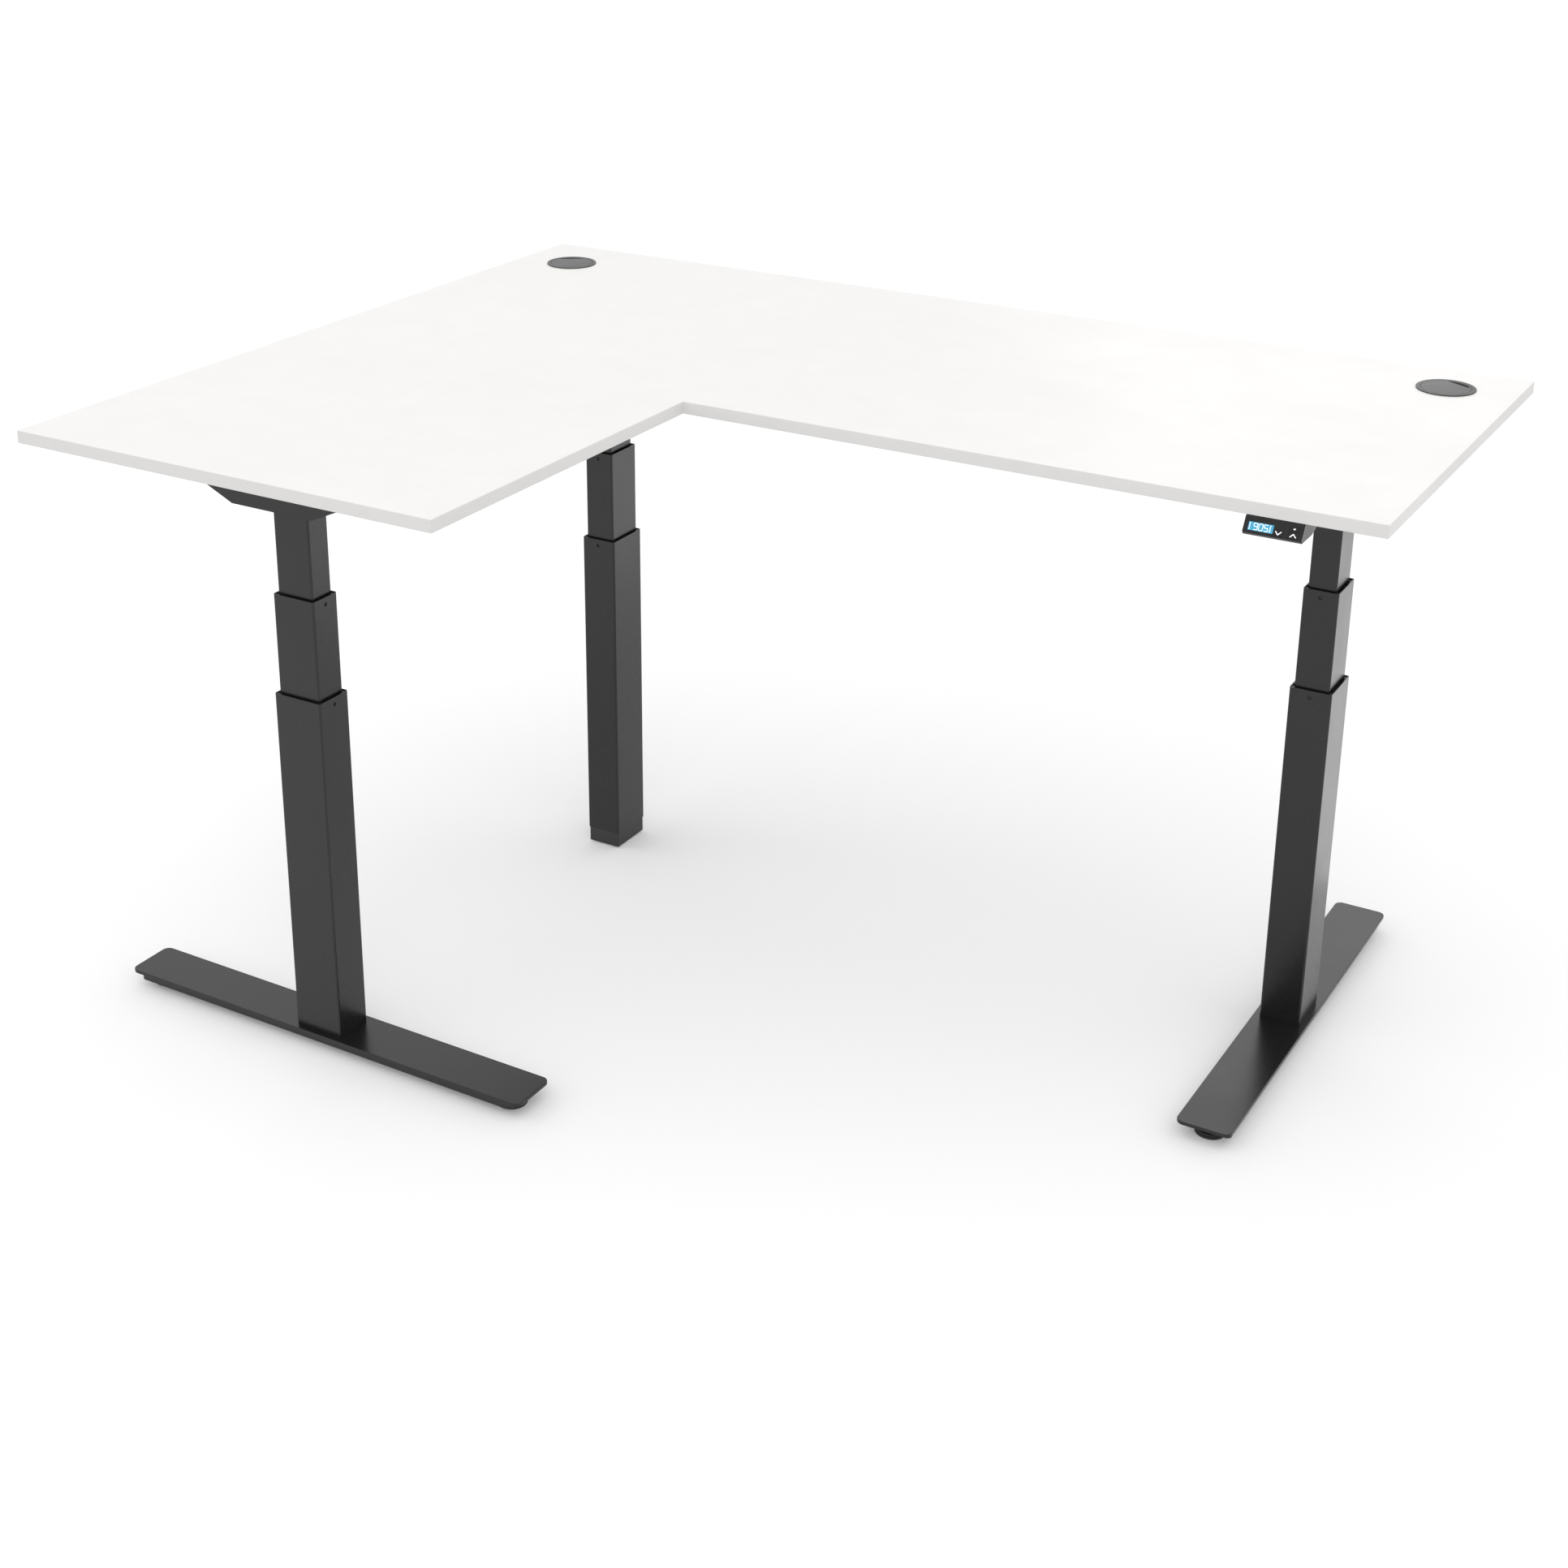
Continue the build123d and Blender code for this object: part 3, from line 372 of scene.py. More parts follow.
def laminate(name, colour, rough, depth):
    """White melamine: a tight pearl texture, a whisper of tone, and faint hand marks in its sheen."""
    material, tree, shader, place = start_material(name)
    texture = place_group(tree, "coat", place, Pebble_Scale=1400.0)
    marks = place_group(tree, "handling", place, Patch_Scale=3.5)
    body = mix_colour(tree, texture.outputs["Thickness"], darker(colour, 0.99), darker(colour, 1.006))
    flecked = mix_colour(tree, marks.outputs["Specks"], body, darker(colour, 0.965))
    tree.links.new(flecked, shader.inputs["Base Color"])
    gloss = spread(tree, marks.outputs["Patches"], 0.0, 1.0, rough[0], rough[1])
    tree.links.new(gloss, shader.inputs["Roughness"])
    bump(tree, shader, texture.outputs["Height"], depth)
    return material


def lit(name, colour, strength, tone):
    """A backlit window or mark: its own light, uneven across the panel."""
    material, tree, shader, place = start_material(name)
    marks = place_group(tree, "handling", place, Patch_Scale=90.0)
    glow = mix_colour(tree, marks.outputs["Patches"], darker(colour, 1 - tone), colour)
    tree.links.new(glow, shader.inputs["Emission Color"])
    unlit = mix_colour(tree, marks.outputs["Patches"], darker(colour, 0.5), darker(colour, 0.7))
    tree.links.new(unlit, shader.inputs["Base Color"])
    shader.inputs["Emission Strength"].default_value = strength
    shader.inputs["Roughness"].default_value = 0.25
    return material


def circuit_board(name):
    """Green solder mask with copper traces showing through as paler lines."""
    material, tree, shader, place = start_material(name)
    traces = tree.nodes.new("ShaderNodeTexVoronoi")
    traces.distance = "MANHATTAN"
    traces.feature = "F2"
    traces.inputs["Scale"].default_value = 160.0
    tree.links.new(place, traces.inputs["Vector"])
    lines = spread(tree, traces.outputs["Distance"], 0.42, 0.5)
    mask = mix_colour(tree, lines, BOARD_GREEN, darker(BOARD_GREEN, 1.9))
    tree.links.new(mask, shader.inputs["Base Color"])
    tree.links.new(spread(tree, lines, 0.0, 1.0, 0.28, 0.42), shader.inputs["Roughness"])
    bump(tree, shader, lines, 0.03 * MM)
    return material


FINISH = {
    "charcoal_powder_coat": coated(
        "charcoal_powder_coat", FRAME_PAINT, FRAME_PAINT_WORN, (0.25, 0.31), 800.0, 0.004 * MM, 0.25,
        shine=0.46,
    ),
    "white_laminate": laminate("white_laminate", WHITE_TOP, (0.42, 0.52), 0.006 * MM),
    "white_edging": laminate("white_edging", WHITE_EDGE, (0.45, 0.55), 0.004 * MM),
    "black_nylon": coated("black_nylon", NYLON, darker(NYLON, 2.6), (0.45, 0.6), 1200.0, 0.01 * MM, 0.3),
    "black_rubber": coated("black_rubber", RUBBER, darker(RUBBER, 2.0), (0.5, 0.72), 1500.0, 0.02 * MM, 0.3),
    "black_plastic": coated(
        "black_plastic", BOX_PLASTIC, darker(BOX_PLASTIC, 2.4), (0.42, 0.55), 1500.0, 0.02 * MM, 0.3
    ),
    "grey_plastic": coated(
        "grey_plastic", GREY_CAP, darker(GREY_CAP, 1.3), (0.42, 0.54), 2200.0, 0.02 * MM, 0.3, shine=0.45
    ),
    "gloss_black": coated(
        "gloss_black", GLOSS, darker(GLOSS, 3.0), (0.12, 0.2), 300.0, 0.002 * MM, 0.2, shine=0.3
    ),
    "bright_steel": metal("bright_steel", STEEL, (0.2, 0.34), (1.0, 1.0, 0.03)),
    "zinc_steel": metal("zinc_steel", ZINC, (0.28, 0.42), (1.0, 0.1, 1.0)),
    "cast_aluminium": metal("cast_aluminium", CAST, (0.42, 0.6), (0.6, 0.6, 0.6), 0.05 * MM, 0.6),
    "bronze_nut": metal("bronze_nut", BRONZE, (0.3, 0.42), (0.05, 1.0, 1.0)),
    "motor_steel": coated(
        "motor_steel", darker(BOX_PLASTIC, 1.4), darker(STEEL, 0.4), (0.3, 0.42), 700.0, 0.01 * MM, 0.5
    ),
    "blue_display": lit("blue_display", DISPLAY_BLUE, 0.75, 0.12),
    "display_mark": lit("display_mark", MARK_WHITE, 0.9, 0.05),
    "circuit_board": circuit_board("circuit_board"),
}


# ===== modelling helpers =====
def deselect():
    """Nothing selected, and no active object left in edit mode."""
    if bpy.context.object and bpy.context.object.mode != "OBJECT":
        bpy.ops.object.mode_set(mode="OBJECT")
    bpy.ops.object.select_all(action="DESELECT")


def take(piece):
    """Makes one piece the only selected and active one."""
    deselect()
    piece.select_set(True)
    bpy.context.view_layer.objects.active = piece


def settle(piece):
    """Applies a piece's place, turn and size to its mesh."""
    take(piece)
    bpy.ops.object.transform_apply(location=True, rotation=True, scale=True)
    return piece


def outward(piece, merge=0.001 * MM):
    """Merges doubled corners and turns every face outwards."""
    take(piece)
    bpy.ops.object.mode_set(mode="EDIT")
    bpy.ops.mesh.select_all(action="SELECT")
    bpy.ops.mesh.remove_doubles(threshold=merge)
    bpy.ops.mesh.normals_make_consistent(inside=False)
    bpy.ops.object.mode_set(mode="OBJECT")
    return piece


def add_modifier(piece, kind, **values):
    """Puts a modifier on a piece and applies it."""
    take(piece)
    modifier = piece.modifiers.new(kind.lower(), kind)
    for name, value in values.items():
        setattr(modifier, name, value)
    bpy.ops.object.modifier_apply(modifier=modifier.name)
    return piece


def rounded(piece, width, segments=2, angle=30.0):
    """Breaks a piece's sharp edges with a small round."""
    return add_modifier(
        piece, "BEVEL", width=width, segments=segments, limit_method="ANGLE",
        angle_limit=radians(angle),
    )


def block(centre, size, round_by=0.0, segments=2):
    """A block at its size and place, with rounded edges."""
    deselect()
    bpy.ops.mesh.primitive_cube_add(size=1.0, location=centre)
    piece = bpy.context.object
    piece.scale = size
    settle(piece)
    if round_by:
        rounded(piece, round_by, segments)
    return piece


def turned(centre, rings, around=48):
    """A lathe shape about an upright axis: a disc pulled through (radius, height) rings and closed."""
    deselect()
    x, y, z = centre
    radius, height = rings[0]
    bpy.ops.mesh.primitive_circle_add(
        vertices=around, radius=radius, location=(x, y, z + height), fill_type="NGON"
    )
    piece = bpy.context.object
    settle(piece)
    bpy.ops.object.mode_set(mode="EDIT")
    bpy.ops.mesh.select_all(action="SELECT")
    for next_radius, next_height in rings[1:]:
        bpy.ops.mesh.extrude_region_move(TRANSFORM_OT_translate={"value": (0, 0, next_height - height)})
        share = next_radius / radius
        bpy.ops.transform.resize(value=(share, share, 1.0), center_override=(x, y, z + next_height))
        radius, height = next_radius, next_height
    bpy.ops.object.mode_set(mode="OBJECT")
    return outward(piece)


def copied(piece, matrix):
    """A copy of a piece with its own mesh, placed by a matrix."""
    twin = piece.copy()
    twin.data = piece.data.copy()
    bpy.context.scene.collection.objects.link(twin)
    twin.data.transform(matrix)
    return twin


def joined(pieces, name):
    """Several solids as one piece."""
    deselect()
    for piece in pieces:
        piece.select_set(True)
    bpy.context.view_layer.objects.active = pieces[0]
    if len(pieces) > 1:
        bpy.ops.object.join()
    pieces[0].name = name
    pieces[0].data.name = name
    return pieces[0]


def smooth(piece, angle=30.0):
    """Smooth shading that keeps sharp edges sharp and flat faces flat."""
    take(piece)
    bpy.ops.object.shade_smooth_by_angle(angle=radians(angle))
    return add_modifier(piece, "WEIGHTED_NORMAL", mode="FACE_AREA", weight=100, keep_sharp=True)


def hand_over(piece, name, body, slot, finish=None, replaces=(), angle=30.0):
    """Names a finished piece, gives it its finish, and lets it ride on its body."""
    piece.name = name
    piece.data.name = name
    smooth(piece, angle)
    piece.data.materials.clear()
    piece.data.materials.append(FINISH[finish or slot])
    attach(piece, body)
    if replaces:
        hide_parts(*replaces)
    return piece


def merged_copy(node):
    """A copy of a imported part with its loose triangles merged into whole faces."""
    source = frame["nodes"][node]
    twin = source.copy()
    twin.data = source.data.copy()
    twin.parent = None
    for key in list(twin.keys()):
        if key.startswith("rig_"):
            del twin[key]
    bpy.context.scene.collection.objects.link(twin)
    take(twin)
    bpy.ops.object.mode_set(mode="EDIT")
    bpy.ops.mesh.select_all(action="SELECT")
    bpy.ops.mesh.remove_doubles(threshold=0.002 * MM)
    bpy.ops.mesh.customdata_custom_splitnormals_clear()
    bpy.ops.mesh.dissolve_limited(angle_limit=radians(0.5))
    bpy.ops.object.mode_set(mode="OBJECT")
    return twin


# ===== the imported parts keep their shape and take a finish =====
SLOT_OF = {row["node"]: row["material_slot"] for row in frame["record"]["subparts"]}
BODY_OF = {node: body for body, nodes in frame["record"]["behaviour"]["bodies"].items() for node in nodes}


def finish_packed_parts():
    """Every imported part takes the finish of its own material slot."""
    for node, piece in frame["nodes"].items():
        piece.data.materials.clear()
        piece.data.materials.append(FINISH[SLOT_OF[node]])


def soften(node, width, segments=2):
    """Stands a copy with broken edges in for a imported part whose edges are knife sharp."""
    piece = merged_copy(node)
    add_modifier(
        piece, "BEVEL", width=width, segments=segments, limit_method="ANGLE",
        angle_limit=radians(40.0), use_clamp_overlap=True, miter_outer="MITER_ARC",
    )
    return hand_over(piece, f"{node}_eased", BODY_OF[node], SLOT_OF[node], replaces=(node,), angle=32.0)


# ===== keypad =====
def face_frame():
    """The keypad's sloping face: local X to the right, Y up the slope, Z out of the face."""
    low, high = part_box("keypad_fascia")
    origin = Vector(((low.x + high.x) / 2, high.y - FASCIA_THICKNESS * cos(KEYPAD_TILT), high.z))
    axes = Matrix((
        (1, 0, 0),
        (0, sin(KEYPAD_TILT), -cos(KEYPAD_TILT)),
        (0, cos(KEYPAD_TILT), sin(KEYPAD_TILT)),
    ))
    return Matrix.Translation(origin) @ axes.to_4x4()


def on_face(node, face):
    """A packed key's middle, in the keypad face's own coordinates."""
    low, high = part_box(node)
    return face.inverted() @ ((low + high) / 2)


def bar(u, v, length, width, lift, turn=0.0):
    """A thin flat bar with pointed ends, lying on the keypad's face before it is placed there."""
    deselect()
    bpy.ops.mesh.primitive_cube_add(size=1.0, location=(0, 0, 0))
    piece = bpy.context.object
    piece.scale = (length, width, MARK_THICKNESS)
    settle(piece)
    bpy.ops.object.mode_set(mode="EDIT")
    bpy.ops.mesh.select_all(action="DESELECT")
    shape = bmesh.from_edit_mesh(piece.data)
    for edge in shape.edges:
        first, second = edge.verts
        edge.select_set(abs(first.co.z - second.co.z) > MARK_THICKNESS / 2)
    bmesh.update_edit_mesh(piece.data)
    bpy.ops.mesh.bevel(offset=width * 0.42, segments=1, affect="EDGES")
    bpy.ops.object.mode_set(mode="OBJECT")
    piece.data.transform(Matrix.Translation((u, v, lift)) @ Matrix.Rotation(turn, 4, "Z"))
    return piece


SEGMENTS = {  # top, top right, bottom right, bottom, bottom left, top left, middle
    "9": (1, 1, 1, 1, 0, 1, 1),
    "0": (1, 1, 1, 1, 1, 1, 0),
    "5": (1, 0, 1, 1, 0, 1, 1),
}


def digit(shape, u, v, lift):
    """One seven-segment digit about its middle."""
    half = DIGIT_HEIGHT / 2
    side = DIGIT_WIDTH / 2
    long = DIGIT_WIDTH - 0.25 * MM
    tall = half - 0.2 * MM
    places = (
        (0, half, long, 0), (side, half / 2, tall, pi / 2), (side, -half / 2, tall, pi / 2),
        (0, -half, long, 0), (-side, -half / 2, tall, pi / 2), (-side, half / 2, tall, pi / 2),
        (0, 0, long, 0),
    )
    return [
        bar(u + du, v + dv, length, SEGMENT_WIDTH, lift, turn)
        for lit_up, (du, dv, length, turn) in zip(SEGMENTS[shape], places) if lit_up
    ]


def chevron(u, v, points_up, lift):
    """An arrow mark made of two strokes that meet in a point."""
    rise = CHEVRON_RISE if points_up else -CHEVRON_RISE
    slope = atan2(rise, CHEVRON_SPAN / 2)
    length = (CHEVRON_SPAN**2 / 4 + CHEVRON_RISE**2) ** 0.5 + CHEVRON_LINE * 0.5
    return [
        bar(u - CHEVRON_SPAN / 4, v, length, CHEVRON_LINE, lift, slope),
        bar(u + CHEVRON_SPAN / 4, v, length, CHEVRON_LINE, lift, -slope),
    ]


def lay_on_face(marks, face, name, body, slot, finish=None):
    """Joins flat marks, lays them on the keypad's face and hands them over as one piece."""
    piece = joined(marks, name)
    piece.data.transform(face)
    return hand_over(piece, name, body, slot, finish)


def display_marks(window):
    """The display's three digits, and the column of small bars at both its ends."""
    lift = MARK_THICKNESS / 2 - DISPLAY_DEPTH
    marks = []
    for index, shape in enumerate("905"):
        marks += digit(shape, window.x + (index - 1) * DIGIT_PITCH, window.y, lift)
    for place in SCALE_PLACES:
        for step in range(SCALE_MARKS):
            height = (step - (SCALE_MARKS - 1) / 2) * SCALE_PITCH
            marks.append(bar(window.x + place, window.y + height, *SCALE_MARK_SIZE, lift))
    return marks


def keypad_pieces():
    """The display's marks, the marks on the keys, a bead along the face, and the eased keypad itself."""
    face = face_frame()
    window = on_face("keypad_display", face)
    lay_on_face(display_marks(window), face, "display_digits", "top", "blue_display", "display_mark")

    key_top = KEY_HEIGHT + MARK_THICKNESS / 2
    for node, body, points_up in (("key_down", "down_key", False), ("key_up", "up_key", True)):
        middle = on_face(node, face)
        arrow = chevron(middle.x, middle.y, points_up, key_top)
        lay_on_face(arrow, face, f"{node}_mark", body, "gloss_black", "display_mark")
    middle = on_face("key_memory", face)
    strokes = [
        bar(middle.x + side * MEMORY_LINE_PITCH, middle.y, *MEMORY_LINE_SIZE, key_top, pi / 2)
        for side in (-1, 0, 1)
    ]
    lay_on_face(strokes, face, "key_memory_mark", "memory_key", "gloss_black", "display_mark")

    low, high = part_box("keypad_fascia")
    bead = bar(0.0, -BEAD_DROP, high.x - low.x - 2 * BEAD_END_GAP, BEAD_WIDTH, 0.0)
    lay_on_face([bead], face, "keypad_bead", "top", "gloss_black")
    for node in ("key_down", "key_up", "key_memory", "keypad_fascia"):
        soften(node, 0.25 * MM)
    soften("keypad_housing", 0.8 * MM, 3)


# ===== levelling feet =====
def threaded(start, end, radius, groove=0.7 * MM):
    """The (radius, height) rings of a stud's thread, from start to end."""
    rings = [(radius - groove, start)]
    turns = int((end - start) / THREAD_PITCH)
    for turn in range(turns):
        foot = start + turn * THREAD_PITCH
        rings += [(radius, foot + THREAD_PITCH * 0.4), (radius - groove, foot + THREAD_PITCH * 0.9)]
    return rings + [(radius - groove, end - 0.4 * MM), (radius - groove * 1.6, end)]


def levelling_foot(node, body, pad_height):
    """A round pad with a soft tread, a parting groove, a dished top and a collar, and its threaded stud."""
    low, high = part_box(node)
    x, y = (low.x + high.x) / 2, (low.y + high.y) / 2
    radius = (high.x - low.x) / 2
    dish = pad_height * 0.62
    rings = [
        (radius - 1.8 * MM, 0.0), (radius - 0.6 * MM, pad_height * 0.04), (radius, pad_height * 0.12),
        (radius, pad_height * 0.46), (radius - 0.4 * MM, pad_height * 0.52),
        (radius - 1.3 * MM, pad_height * 0.54), (radius - 1.3 * MM, pad_height * 0.62),
        (radius - 0.9 * MM, pad_height * 0.66), (radius - 0.9 * MM, pad_height * 0.93),
        (radius - 1.6 * MM, pad_height), (radius - 3.4 * MM, pad_height), (radius - 5.0 * MM, dish),
        (10.2 * MM, dish), (9.2 * MM, pad_height * 0.9),
        (8.4 * MM, pad_height * 0.98), (5.2 * MM, pad_height * 0.98),
    ]
    pad = turned((x, y, 0.0), rings, 80)
    stud = turned((x, y, 0.0), threaded(pad_height * 0.9, high.z, STUD_RADIUS), 28)
    hand_over(pad, f"{node}_pad", body, "black_rubber", replaces=(node,), angle=35.0)
    hand_over(stud, f"{node}_stud", body, "zinc_steel", angle=50.0)


# ===== snap pins in the tube rims =====
def rim_pins(side):
    """The moulded pins that snap the rim glides into both narrow faces of a column's tubes."""
    along_x = side == "left"
    for stage, body in (("outer", f"{side}_base"), ("middle", f"{side}_middle")):
        low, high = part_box(f"{side}_{stage}_tube")
        middle = (low + high) / 2
        reach = (high.x - low.x) / 2 if along_x else (high.y - low.y) / 2
        profile = [
            (PIN_RADIUS * 0.98, -2.6 * MM), (PIN_RADIUS, -2.2 * MM), (PIN_RADIUS * 0.97, -1.7 * MM),
            (PIN_RADIUS * 0.8, -1.35 * MM), (PIN_RADIUS * 0.35, -1.2 * MM),
        ]
        pins = []
        for way in (-1, 1):
            pin = turned((0, 0, 0), profile, 32)
            outwards = Vector((way, 0, 0)) if along_x else Vector((0, way, 0))
            turn = outwards.to_track_quat("Z", "Y").to_matrix().to_4x4()
            place = Vector((middle.x, middle.y, high.z - PIN_BELOW_RIM)) + outwards * reach
            pin.data.transform(Matrix.Translation(place) @ turn)
            pins.append(pin)
        hand_over(joined(pins, "pins"), f"{side}_{stage}_snap_pins", body, "black_nylon")


# ===== screws and bolts =====
def solids_in(node):
    """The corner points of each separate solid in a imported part, at rest."""
    whole = merged_copy(node)
    shape = bmesh.new()
    shape.from_mesh(whole.data)
    waiting = set(shape.verts)
    solids = []
    while waiting:
        edge_of_search = [min(waiting, key=lambda corner: corner.index)]
        waiting.discard(edge_of_search[0])
        solid = []
        while edge_of_search:
            corner = edge_of_search.pop()
            solid.append(corner.co.copy())
            for edge in corner.link_edges:
                other = edge.other_vert(corner)
                if other in waiting:
                    waiting.discard(other)
                    edge_of_search.append(other)
        solids.append(solid)
    shape.free()
    bpy.data.objects.remove(whole, do_unlink=True)
    return solids


def extent(points):
    """The lowest and highest corners of some points."""
    low = Vector([min(point[axis] for point in points) for axis in range(3)])
    high = Vector([max(point[axis] for point in points) for axis in range(3)])
    return low, high


def cross_recess(head):
    """Cuts a cross for a driver into the end of a screw's head, at the origin."""
    length, width, height = SCREW_HEAD_RADIUS * 1.15, DRIVER_SLOT_WIDTH, 2 * DRIVER_SLOT_DEPTH
    bars = [block((0, 0, 0), (length, width, height)), block((0, 0, 0), (width, length, height))]
    for cutter in bars:
        add_modifier(head, "BOOLEAN", object=cutter, operation="DIFFERENCE", solver="EXACT")
        bpy.data.objects.remove(cutter, do_unlink=True)
    return outward(head)


def wood_screw(length):
    """A pan-head wood screw standing on its head at the origin, pointing up."""
    head_rings = [
        (SCREW_HEAD_RADIUS * 0.55, 0.0), (SCREW_HEAD_RADIUS * 0.8, 0.25 * MM),
        (SCREW_HEAD_RADIUS * 0.95, 0.8 * MM), (SCREW_HEAD_RADIUS, 1.5 * MM),
        (SCREW_HEAD_RADIUS, SCREW_HEAD_HEIGHT),
    ]
    head = cross_recess(turned((0, 0, 0), head_rings, 32))
    rings = threaded(SCREW_HEAD_HEIGHT, length - SCREW_POINT_LENGTH, SCREW_SHANK_RADIUS, 0.6 * MM)
    shank = turned((0, 0, 0), rings + [(SCREW_POINT_RADIUS, length)], 20)
    return joined([head, shank], "wood_screw")


def hex_bolt(length):
    """A hexagon bolt standing on its head at the origin, with a chamfered head and a round washer face."""
    head_rings = [
        (BOLT_HEAD_RADIUS * 0.86, 0.0), (BOLT_HEAD_RADIUS * 0.97, 0.35 * MM), (BOLT_HEAD_RADIUS, 0.8 * MM),
        (BOLT_HEAD_RADIUS, BOLT_HEAD_HEIGHT - 0.6 * MM),
        (BOLT_HEAD_RADIUS * 0.9, BOLT_HEAD_HEIGHT - 0.3 * MM),
    ]
    head = rounded(turned((0, 0, 0), head_rings, 6), 0.15 * MM, 2, 25.0)
    washer_rings = [
        (BOLT_WASHER_RADIUS, BOLT_HEAD_HEIGHT - BOLT_WASHER_HEIGHT), (BOLT_WASHER_RADIUS, BOLT_HEAD_HEIGHT),
    ]
    washer = turned((0, 0, 0), washer_rings, 32)
    shank = turned((0, 0, 0), threaded(BOLT_HEAD_HEIGHT, length, BOLT_SHANK_RADIUS), 20)
    return joined([head, washer, shank], "hex_bolt")


def turning_axis(solid):
    """The axis that a turned solid stands along: the one that its flat ends and shoulders lie square to."""
    levels = [len({round(point[axis] / MM, 2) for point in solid}) for axis in range(3)]
    axis = levels.index(min(levels))
    return Vector([1.0 if index == axis else 0.0 for index in range(3)])


def screws_and_bolts():
    """Every fastener of the frame in its own place: screws stand upright, bolts lie along a beam."""
    fasteners = []
    masters = {}
    for solid in solids_in("frame_screws"):
        low, high = extent(solid)
        middle = (low + high) / 2
        along = turning_axis(solid)
        length = abs((high - low).dot(along))
        away = [(point - middle) - along * (point - middle).dot(along) for point in solid]
        widest = max(offset.length for offset in away)
        head_side = sum(
            (point - middle).dot(along) for point, offset in zip(solid, away) if offset.length > widest * 0.9
        )
        towards = along if head_side < 0 else -along
        kind = "screw" if along.z > 0.5 else "bolt"
        if kind not in masters:
            masters[kind] = wood_screw(length) if kind == "screw" else hex_bolt(length)
        turn = towards.to_track_quat("Z", "Y").to_matrix().to_4x4()
        head_end = middle - towards * (length / 2)
        fasteners.append(copied(masters[kind], Matrix.Translation(head_end) @ turn))
    for master in masters.values():
        bpy.data.objects.remove(master, do_unlink=True)
    whole = joined(fasteners, "fasteners")
    hand_over(whole, "frame_fasteners", "top", "zinc_steel", replaces=("frame_screws",), angle=35.0)


# ===== drive units =====
def motors():
    """Each motor can with its rolled rims, a low boss on its end and two brush caps."""
    cans = []
    for solid in solids_in("lift_motors"):
        low, high = extent(solid)
        along = turning_axis(solid)
        length = abs((high - low).dot(along))
        middle = (low + high) / 2
        rim = MOTOR_RADIUS - 0.5 * MM
        rings = [
            (rim - 3 * MM, 0.0), (rim, 1.2 * MM), (rim, 6 * MM),
            (rim - 1.2 * MM, 6.8 * MM), (rim - 1.2 * MM, 7.8 * MM),
            (MOTOR_RADIUS - 0.1 * MM, 8.6 * MM), (MOTOR_RADIUS - 0.1 * MM, length - 13 * MM),
            (rim - 1.2 * MM, length - 12.2 * MM), (rim - 1.2 * MM, length - 11 * MM),
            (rim, length - 10.2 * MM),
            (rim, length - 3 * MM), (rim - 2 * MM, length - 1 * MM), (9 * MM, length - 1 * MM),
            (8 * MM, length), (3 * MM, length),
        ]
        can = turned((0, 0, 0), rings, 56)
        caps = []
        for way in (-1, 1):
            cap_rings = [
                (BRUSH_CAP_RADIUS, -2 * MM), (BRUSH_CAP_RADIUS, 0.5 * MM),
                (BRUSH_CAP_RADIUS - 0.8 * MM, 0.9 * MM),
            ]
            cap = turned((0, 0, 0), cap_rings, 20)
            place = Matrix.Translation((way * (rim - 0.6 * MM), 0, length - BRUSH_CAP_FROM_END))
            cap.data.transform(place @ Matrix.Rotation(way * pi / 2, 4, "Y"))
            caps.append(cap)
        motor = joined([can] + caps, "motor")
        start = middle - along * (length / 2)
        motor.data.transform(Matrix.Translation(start) @ along.to_track_quat("Z", "Y").to_matrix().to_4x4())
        cans.append(motor)
    whole = joined(cans, "motors")
    hand_over(whole, "lift_motor_cans", "top", "motor_steel", replaces=("lift_motors",), angle=35.0)


def gearbox_covers():
    """The cover plate over each gearbox, with its four screws."""
    plates = []
    screws = []
    master = hex_bolt(COVER_SCREW_LENGTH)
    for solid in solids_in("gearboxes"):
        low, high = extent(solid)
        size = high - low
        middle = (low + high) / 2
        centre = (middle.x, middle.y, high.z + COVER_THICKNESS / 2)
        plate_size = (size.x - COVER_MARGIN, size.y - COVER_MARGIN, COVER_THICKNESS)
        plates.append(block(centre, plate_size, 0.6 * MM))
        head_end = high.z + COVER_THICKNESS + BOLT_HEAD_HEIGHT
        for left_or_right in (-1, 1):
            for front_or_back in (-1, 1):
                x = middle.x + left_or_right * (size.x / 2 - COVER_SCREW_INSET)
                y = middle.y + front_or_back * (size.y / 2 - COVER_SCREW_INSET)
                place = Matrix.Translation((x, y, head_end))
                screws.append(copied(master, place @ Matrix.Rotation(pi, 4, "X")))
    bpy.data.objects.remove(master, do_unlink=True)
    hand_over(joined(plates, "plates"), "gearbox_covers", "top", "cast_aluminium", angle=35.0)
    hand_over(joined(screws, "screws"), "gearbox_cover_screws", "top", "zinc_steel", angle=35.0)


